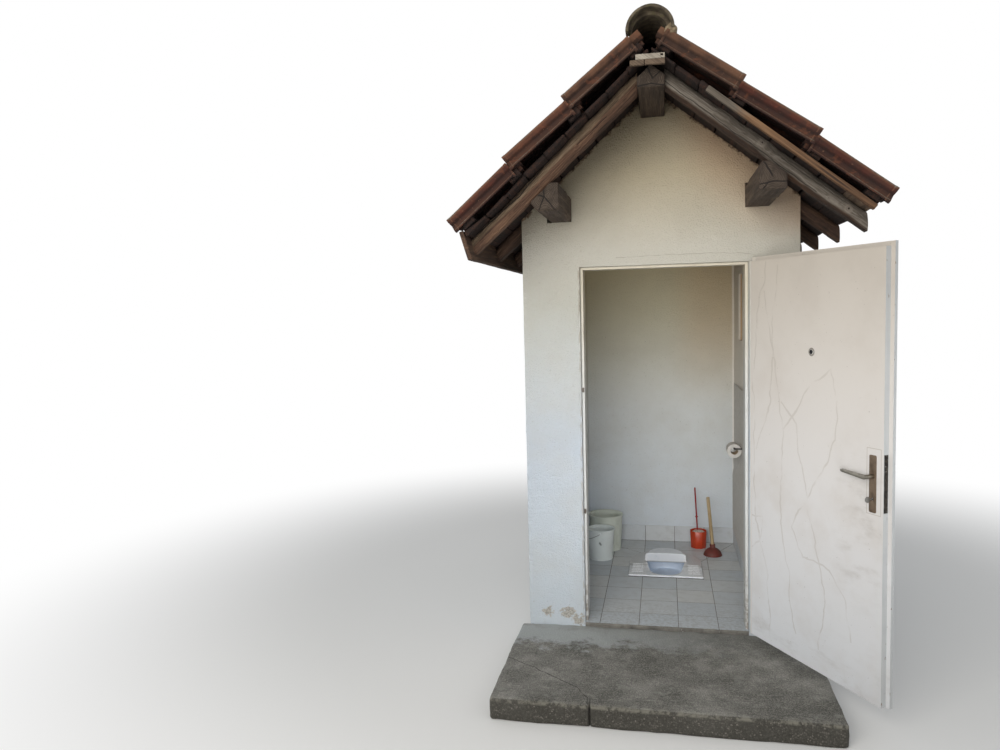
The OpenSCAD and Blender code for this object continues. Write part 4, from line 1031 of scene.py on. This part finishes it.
# Lime mortar, buff
lump_mortar = surface("buff bedding mortar",
                      lambda t: shades(t, (0.02, 5), (0.35, "6b5c48"), (0.65, "a59377")),
                      0.95, [(0.006, 4)], 0.003)
ridge = copy_of("ridge_tiles")
round_edges(ridge, 0.0025, 2)
roughen(ridge, 0.003, 0.05)
smooth(ridge)
dress(ridge, ridge_clay)
lump = start(bpy.ops.mesh.primitive_ico_sphere_add, subdivisions=3, radius=0.026,
             location=(0.074, -1.462, 2.872), scale=(0.9, 0.8, 1.0))
roughen(lump, 0.022, 0.02)
dress(lump, lump_mortar)
settle(join([ridge, lump]), "ridge_clay", "ridge_tile", [ridge_clay, lump_mortar], "ridge_tiles")


# ---- Door frame
# Square timber members built into the plaster, painted cream, with a dark line of painted shade where
# the plaster meets them, chipped at two places on the left.

def paint_colour(clean, dirty, size=0.12, share=0.5):
    """Old paint or plastic: clean with clouds of dirt."""
    return lambda t: coats(t, clean, (dirty, (noise(t, size, 6), 0.4, 0.8), share))


def frame_colour(tree):
    x, _, z = parts_of(tree)
    # Painted shade in the seam between frame and plaster, at the sides here and at the head below
    shaded_seam = product(tree, sums(tree, "MAXIMUM", (x, -0.3795, -0.3815), (x, 0.4345, 0.4362)),
                    (noise(tree, 0.05, 4), 0.3, 0.42))
    chips = [[(-0.376, -0.834, up) for up in ends] for ends in ((1.338, 1.326), (0.706, 0.692))]
    return coats(
        tree, paint_colour("c9cac8", "aaa79f")(tree),
        (paint_colour("d3cbb8", "b3a68e")(tree), (z, 1.2, 1.9)),
        # Scraped bare along its foot
        ("7d7264", (z, 0.5, 0.15), (noise(tree, 0.03, 5), 0.42, 0.6), 0.7),
        ("42382d", sums(tree, "MAXIMUM", shaded_seam, (z, 1.9545, 1.9562)), 0.65),
        *(("493c30", along_line(tree, wobbly(tree, 0.01, 0.006), chip, 0.018)) for chip in chips))


# Cream oil paint, gone dull
frame_paint = surface("cream frame paint", frame_colour, 0.5, [(0.012, 4)], 0.0009)
jambs = copy_of("door_frame")
round_edges(jambs, 0.0025, 2)
slice_up(jambs, 2, steps(0.1, 1.9, 0.1))
roughen(jambs, 0.0015, 0.08)
settle(jambs, "door_jambs", "frame_paint", [frame_paint], "door_frame")


# ---- Window
# A small varnished frame with one pane, set deep in the right wall.

# Varnished wood, reddish
varnished = timber("varnished window wood", "5f3a20", "8a5a35", "a37448", 0.45, 0.004, 0.0006)
sash = copy_of("window_frame")
round_edges(sash, 0.003, 2)
grain(sash, (0, 0, 1), (1, 0, 0))
smooth(sash)
settle(sash, "window_sash", "window_wood", [varnished], "window_frame")

# Clear window glass, dusty in its corners
glass = surface("window glass", "dfe9e6", lambda t: shades(t, (0.03, 5), (0.4, "101010"), (0.7, "6a6a6a")),
                **{"Transmission Weight": 1.0, "IOR": 1.45})
pane = copy_of("window_pane")
round_edges(pane, 0.0005, 1)
settle(pane, "window_glass", "glass", [glass], "window_pane")


# ---- Squat pan
# A glazed stoneware pan set into the floor in a dark joint, with a hood over its back, a bowl painted bluish
# white as painted light against its own shade, and ribbed footrests that shoes have specked with dirt.

PAN_X = 0.030


def pan_colour(tree):
    x, y, z = parts_of(tree)
    aside = add(tree, "Math", {0: sums(tree, "SUBTRACT", x, PAN_X)}, operation="ABSOLUTE").outputs[0]
    tread = product(tree, (aside, 0.105, 0.12), (z, 0.124, 0.126))
    # The joint round the pan: its straight front, its sides and its round back
    flat = add(tree, "CombineXYZ", {0: x, 1: y}).outputs[0]
    off = add(tree, "VectorMath", {0: flat, 1: (PAN_X, 0.195, 0)}, operation="DISTANCE").outputs["Value"]
    outer = sums(tree, "MAXIMUM", (y, -0.090, -0.096), (off, 0.214, 0.218))
    return coats(
        tree, "d9dde2",
        ("c2c9d0", (noise(tree, 0.05, 4), 0.45, 0.8)),
        # Painted light: the bowl brighter and bluer than the glaze, against its own shade
        ("d6e2f1", (z, 0.112, 0.100), 0.9),
        # Painted shade: the dark line under the hood's lip where it meets the bowl
        ("4d5157", (z, 0.1085, 0.1105, 0.001), 0.6),
        ("e3e4e6", tread, 0.5),
        ("8d8b88", tread, (noise(tree, 0.006, 3), 0.57, 0.64), 0.6),
        # Its back lies under the dirt of the floor
        ("989693", (y, 0.05, 0.11), (z, 0.114, 0.128, 0.002), 0.65),
        ("3f3d39", outer, (z, 0.1195, 0.1175)))


# White glaze, shiny in front and satin under the dirt at its back
porcelain = surface("white sanitary glaze", pan_colour,
                    lambda t: shades(t, parts_of(t)[1], (0.04, "333333"), (0.12, "999999")),
                    **{"Coat Weight": 0.1})
pan = copy_of("squat_pan")
modify(pan, "REMESH", mode="VOXEL", voxel_size=0.0035)
modify(pan, "SMOOTH", factor=0.5, iterations=4)
pick(pan)
bpy.ops.object.shade_smooth()
settle(pan, "glazed_pan", "porcelain", [porcelain], "squat_pan")


# ---- Pails
# Two moulded plastic pails against the left wall, with ridges moulded under their rims. The small one has a
# wire bail that hangs against its side.

def ring(x, y, z, radius, thick, flat=1.0):
    """A ridge round a pail."""
    made = start(bpy.ops.mesh.primitive_torus_add, location=(x, y, z), major_radius=radius,
                 minor_radius=thick, major_segments=56, minor_segments=10)
    with editing(made):
        bpy.ops.transform.resize(value=(1, 1, flat), center_override=(x, y, z))
    return made


def small_pail_colour(tree):
    spot = along_line(tree, wobbly(tree, 0.01, 0.008), [(-0.386, 0.154, 0.236), (-0.380, 0.154, 0.226)], 0.02)
    return coats(tree, paint_colour("e4eae8", "c6cdcb", 0.09)(tree), ("5b605d", spot, 0.8))


# Greenish-white plastic, a little dull, with one dark mark
white_plastic = surface("white pail plastic", small_pail_colour, 0.4, [(0.02, 3)], 0.0004)
# The same, yellowed and dusty
yellowed_plastic = surface("yellowed pail plastic", paint_colour("d6dbd0", "b3b8a9", 0.07), 0.45,
                           [(0.02, 3)], 0.0005)
# Galvanised wire
wire = surface("galvanised wire", paint_colour("8f8f8b", "55534e", 0.02), 0.4, Metallic=0.9)

for node, name, material, x, y, mouth, base, tall in (
    ("small_pail", "small_white_pail", white_plastic, -0.385, 0.240, 0.092, 0.075, 0.200),
    ("large_pail", "large_white_pail", yellowed_plastic, -0.368, 0.470, 0.116, 0.100, 0.240),
):
    pail = copy_of(node)
    round_edges(pail, 0.001)
    smooth(pail, 35)
    top = FLOOR + tall
    wall = mouth - 0.0045
    pieces = [pail, ring(x, y, top - 0.006, wall - 0.006 * 0.08, 0.0035, 1.3),
              ring(x, y, top - 0.022, wall - 0.003 - 0.022 * 0.08, 0.0025),
              ring(x, y, top - 0.030, wall - 0.003 - 0.030 * 0.08, 0.0025),
              ring(x, y, FLOOR + 0.0045, base - 0.001, 0.0035)]
    if node == "small_pail":
        pivot = top - 0.018
        bail = ring(0, 0, 0, 0.0985, 0.0016)
        trim(bail, (0, 0, 0), (1, 0, 0))
        put(bail, Matrix.Translation((x, y, pivot)) @ Matrix.Rotation(math.radians(-30), 4, "Y"))
        smooth(bail, 60)
        settle(bail, "small_pail_bail", "steel", [wire])
        # The ears that the bail turns in
        for side in (-1, 1):
            ear = start(bpy.ops.mesh.primitive_cylinder_add, vertices=20, radius=0.009, depth=0.010,
                        rotation=(math.pi / 2, 0, 0), location=(x, y + side * 0.0935, pivot))
            round_edges(ear, 0.002, 2)
            pieces.append(ear)
    settle(join(pieces), name, "white_plastic", [material], node)


# ---- Brush and plunger
# A toilet brush in an eight-sided orange-red holder, its worn bristles showing at the mouth, and a rubber
# plunger with a turned wooden handle, dark with age at its top.

# Orange-red plastic, a little faded and dusty
red_plastic = surface("orange-red plastic", paint_colour("b43a17", "8c331b", 0.05), 0.38, [(0.01, 3)], 0.0003)
# Deep red plastic of the rod, where dust doesn't lie
rod_plastic = surface("deep red plastic", paint_colour("8f1917", "6f1715", 0.04), 0.35)
# Nylon bristles, whitish with red ones among them
bristle = surface("worn nylon bristles",
                  lambda t: shades(t, (0.004, 3), (0.38, "7a4a3a"), (0.5, "b9ada2"), (0.65, "dedad3")),
                  0.8, [(0.002, 2)], 0.002)
brush = copy_of("toilet_brush")
round_edges(brush, 0.001, 1)
paint_faces(brush, 1, lambda at, way: at.z > 0.2345)
smooth(brush)
dress(brush, red_plastic, rod_plastic)
tuft = start(bpy.ops.mesh.primitive_uv_sphere_add, segments=28, ring_count=16, radius=0.043,
             location=(0.250, 0.563, 0.214), scale=(1, 1, 0.42))
roughen(tuft, 0.012, 0.012)
dress(tuft, bristle)
settle(join([brush, tuft]), "brush_in_holder", "red_plastic", [red_plastic, rod_plastic, bristle],
       "toilet_brush")

# Dark red rubber, dusty
red_rubber = surface("dark red rubber", paint_colour("65271f", "48332c", 0.04, 0.8), 0.65,
                     [(0.01, 4)], 0.0006)
cup = copy_of("plunger_cup")
round_edges(cup, 0.002)
smooth(cup)
settle(cup, "plunger_rubber", "red_rubber", [red_rubber], "plunger_cup")


def handle_colour(tree):
    return coats(tree, wood_colour(tree, "7f6a4c", "a28c68", "b9a682"),
                 ("43382c", (stirred(tree, parts_of(tree)[2], 0.1, 0.03, 4), 0.52, 0.58), 0.75))


# Turned beech, worn pale below and dark at the top
handle_wood = surface("turned handle wood", handle_colour, 0.6, fibre_bumps(), 0.0006)
stick = copy_of("plunger_handle")
round_edges(stick, 0.004, 3)
grain(stick, (0.06, 0, 1), (0, 1, 0))
smooth(stick)
settle(stick, "plunger_stick", "handle_wood", [handle_wood], "plunger_handle")


# ---- Paper roll
# A roll of paper on a black iron hook in the right wall, its last sheets hanging down along the wall.

# Soft white tissue with its wound edges
tissue = surface("tissue paper", paint_colour("c9c6c1", "a29d96", 0.03), 0.95, [(0.004, 3)], 0.0008)
# Brown card of the core
card = surface("brown card core", paint_colour("b6a184", "8d795e", 0.02), 0.9)
ROLL_X, ROLL_Z, CORE_R = 0.447, 0.8643, 0.0225
SHEET_W, SHEET_L = 0.093, 0.254
roll = copy_of("paper_roll")
round_edges(roll, 0.003)
paint_faces(roll, 1, lambda at, way: abs(way.y) < 0.5 and math.hypot(at.x - ROLL_X, at.z - ROLL_Z) < CORE_R)
settle(roll, "tissue_roll", "paper", [tissue, card], "paper_roll")

tail = start(bpy.ops.mesh.primitive_grid_add, x_subdivisions=6, y_subdivisions=24, size=1,
             location=(0.4905, 0.1175, 0.737), rotation=(math.pi / 2, 0, math.pi / 2),
             scale=(SHEET_W, SHEET_L, 1))
modify(tail, "SOLIDIFY", thickness=0.0006)
# The sheets bend away from the wall and curl at their lower edge
for below, out in ((0.80, -0.002), (0.74, -0.003), (0.68, 0.002), (0.64, 0.002), (0.625, -0.004),
                   (0.616, -0.005)):
    shift(tail, lambda at, way: at.z < below, (out, 0, 0))
smooth(tail, 60)
settle(tail, "hanging_sheets", "paper", [tissue])

# Black wrought iron, rusted in places
iron = surface("black iron", paint_colour("1d1c1b", "3a2a20", 0.02), 0.55, [(0.006, 4)], 0.0006)
hook = copy_of("roll_hook")
round_edges(hook, 0.001, 1)
smooth(hook)
settle(hook, "iron_hook", "black_iron", [iron], "roll_hook")


# ---- Door leaf
# A flush leaf with a lip that laps over the plaster, painted white. Insects and rain have left thin wandering
# trails on it, hands and shoes have scuffed it round the lever and along its foot.

OPEN = math.radians(121.6)
PIN = Vector((0.4585, -0.882, 0))
OUTWARDS = Vector((-math.cos(OPEN), -math.sin(OPEN), 0))
INWARDS = Vector((-math.sin(OPEN), math.cos(OPEN), 0))
LEAF_FOOT, LEAF_HEAD = 0.13, 1.95
low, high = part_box("spyhole")
SPYHOLE = (((low + high) / 2 - PIN).dot(OUTWARDS), 0, (low.z + high.z) / 2)
TRAILS = [
    [(0.142, 1.936), (0.076, 1.672), (0.053, 1.318), (0.043, 1.067), (0.064, 0.708), (0.159, 0.455),
     (0.17, 0.181)],
    [(0.127, 1.805), (0.187, 1.514), (0.247, 1.23), (0.258, 0.954), (0.239, 0.75), (0.297, 0.499),
     (0.337, 0.245)],
    [(0.226, 1.916), (0.187, 1.672), (0.187, 1.514), (0.169, 1.274), (0.064, 1.056)],
    [(0.247, 1.295), (0.34, 1.227), (0.397, 0.981), (0.452, 0.738), (0.505, 0.563), (0.531, 0.446),
     (0.49, 0.24)],
    [(0.256, 1.179), (0.447, 1.389), (0.555, 1.463), (0.588, 1.34), (0.59, 1.173), (0.517, 1.04),
     (0.397, 0.852), (0.316, 0.736), (0.399, 0.621), (0.555, 0.604), (0.637, 0.52), (0.686, 0.342)],
    [(0.043, 0.731), (0.107, 0.732), (0.097, 0.633), (0.043, 0.576)],
]
OLD_PLATE = [(0.752, 0.905), (0.823, 0.905), (0.823, 1.168), (0.752, 1.168), (0.752, 0.905)]


def leaf_place(tree):
    """A point of the leaf as its distance from the pin, 0 and its height."""
    along = add(tree, "VectorMath", {0: where_at(tree), 1: OUTWARDS}, operation="DOT_PRODUCT")
    along = sums(tree, "SUBTRACT", along.outputs["Value"], PIN.dot(OUTWARDS))
    return add(tree, "CombineXYZ", {0: along, 2: parts_of(tree)[2]}).outputs[0]


def leaf_colour(tree):
    flat = leaf_place(tree)
    u, _, z = parts_of(tree, flat)
    level = add(tree, "MapRange", {"Value": z, "From Min": LEAF_FOOT, "From Max": LEAF_HEAD}).outputs[0]
    warped = wobbly(tree, 0.05, 0.012, where=wobbly(tree, 0.16, 0.07, where=flat))
    trails = sums(tree, "MAXIMUM", *(along_line(tree, warped, points, 0.010) for points in TRAILS))
    handled = product(tree, (u, 0.6, 0.83, 0.06), (z, 0.55, 1.1, 0.15))
    eye = add(tree, "VectorMath", {0: flat, 1: SPYHOLE}, operation="DISTANCE").outputs["Value"]
    return coats(
        tree, shades(tree, level, (0.0, "dadde1"), (0.35, "d0cfcf"), (0.6, "cbc7c3"), (1.0, "cbc3b8")),
        ("b7aea4", (noise(tree, 0.25, 5), 0.42, 0.75), 0.3),
        ("9f968b", trails, (noise(tree, 0.12, 3), 0.3, 0.6), 0.36),
        # Scuffs by the lever and along the foot
        ("8f867c", (noise(tree, 0.09, 6, (0.6, 0.6, 1.5)), 0.48, 0.72),
         sums(tree, "MAXIMUM", handled, (z, 0.4, 0.14)), 0.28),
        ("5d5348", (noise(tree, 0.009, 2), 0.73, 0.77), 0.7),
        # Painted shade in the gap round the spyhole
        ("4f483f", (eye, 0.020, 0.0165), 0.75),
        # A paler band beside the hinge edge with a darker line along it, and an older plate has left its
        # outline
        ("e0dbd2", (u, 0.010, 0.036, 0.001), 0.5),
        ("8f867b", (u, 0.0365, 0.0385, 0.0006), 0.5),
        ("958b7e", along_line(tree, flat, OLD_PLATE, 0.004), 0.55))


def leaf_edge_colour(tree):
    # Bluish grey as painted light on the edges, with chips to the wood
    return coats(tree, paint_colour("bcbfc0", "abafb3", 0.08)(tree),
                 ("7b6c5b", (noise(tree, 0.02, 4, (1, 1, 0.5)), 0.66, 0.69)))


# White door paint, stained
door_paint = surface("stained white door paint", leaf_colour, 0.45, [(0.03, 3)], 0.0006)
# The same paint on the leaf's edges, cleaner and chipped to the wood, its bluish grey painted light
edge_paint = surface("chipped white edge paint", leaf_edge_colour, 0.4, [(0.02, 3)], 0.0006)
leaf = copy_of("door_leaf")
round_edges(leaf, 0.0022)
slice_up(leaf, 2, steps(0.135, LEAF_HEAD, 0.12))
paint_faces(leaf, 1, lambda at, way: abs(way.dot(INWARDS)) < 0.5)
settle(leaf, "painted_leaf", "door_paint", [door_paint, edge_paint], "door_leaf", body="door")


# ---- Hinges, lock, plates, lever and spyhole
# Screw-in pin hinges of plain steel, a mortice lock with its key, bronze-brown plates and alloy levers.

def worn_metal(name, clean, dirty, roughness, size=0.03, metal=1.0):
    """Metal with tarnish in clouds, rougher where it is dirty."""
    return surface(name, paint_colour(clean, dirty, size, 0.8),
                   lambda t: stirred(t, roughness - 0.17, 0.35, size, 5),
                   [(0.004, 3)], 0.0002, Metallic=metal)


def faceplate_colour(tree):
    return coats(tree, shades(tree, (0.02, 5), (0.4, "1b1916"), (0.6, "3d3730")),
                 ("97948d", (noise(tree, 0.012, 3), 0.6, 0.64)))


# Plain steel, worn
steel = worn_metal("worn steel", "8f8f8c", "5b554d", 0.4)
# The lock's face, blackened and chipped
faceplate = surface("blackened lock face", faceplate_colour, 0.6, Metallic=0.4)
# Bronze-brown lacquer over thin metal, rubbed pale round the lever
bronze = worn_metal("bronze plate", "6f5f4f", "4a3d31", 0.45, 0.03, 0.5)
# Grey alloy, rubbed bright
alloy = worn_metal("rubbed alloy", "979389", "625d56", 0.34)
# Spyhole: a pale ring round a dark lens
ring_metal = worn_metal("spyhole ring", "e6e3dc", "a9a398", 0.4, 0.01, 0.1)
lens = surface("dark lens", paint_colour("15161a", "24262b", 0.005), 0.08)
LENS_R = 0.0085
for node, name, body, slot, materials in (
    ("frame_hinges", "lower_knuckles", "root", "steel", [steel]),
    ("leaf_hinges", "upper_knuckles", "door", "steel", [steel]),
    ("door_lock", "mortice_lock", "door", "steel", [steel, faceplate]),
    ("handle_plates", "bronze_plates", "door", "bronze", [bronze]),
    ("spyhole", "spyhole_barrel", "door", "bronze", [ring_metal, lens]),
    ("door_handle", "alloy_levers", "handle", "handle_alloy", [alloy]),
):
    fitting = copy_of(node)
    round_edges(fitting, 0.0008)
    if node == "spyhole":
        paint_faces(fitting, 1, lambda at, way: math.hypot(
            (at - PIN).dot(OUTWARDS) - SPYHOLE[0], at.z - SPYHOLE[2]) < LENS_R)
    if node == "door_lock":
        paint_faces(fitting, 1, lambda at, way: way.dot(OUTWARDS) > 0.7 and (at - PIN).dot(OUTWARDS) > 0.8)
    smooth(fitting)
    settle(fitting, name, slot, materials, node, body=body)
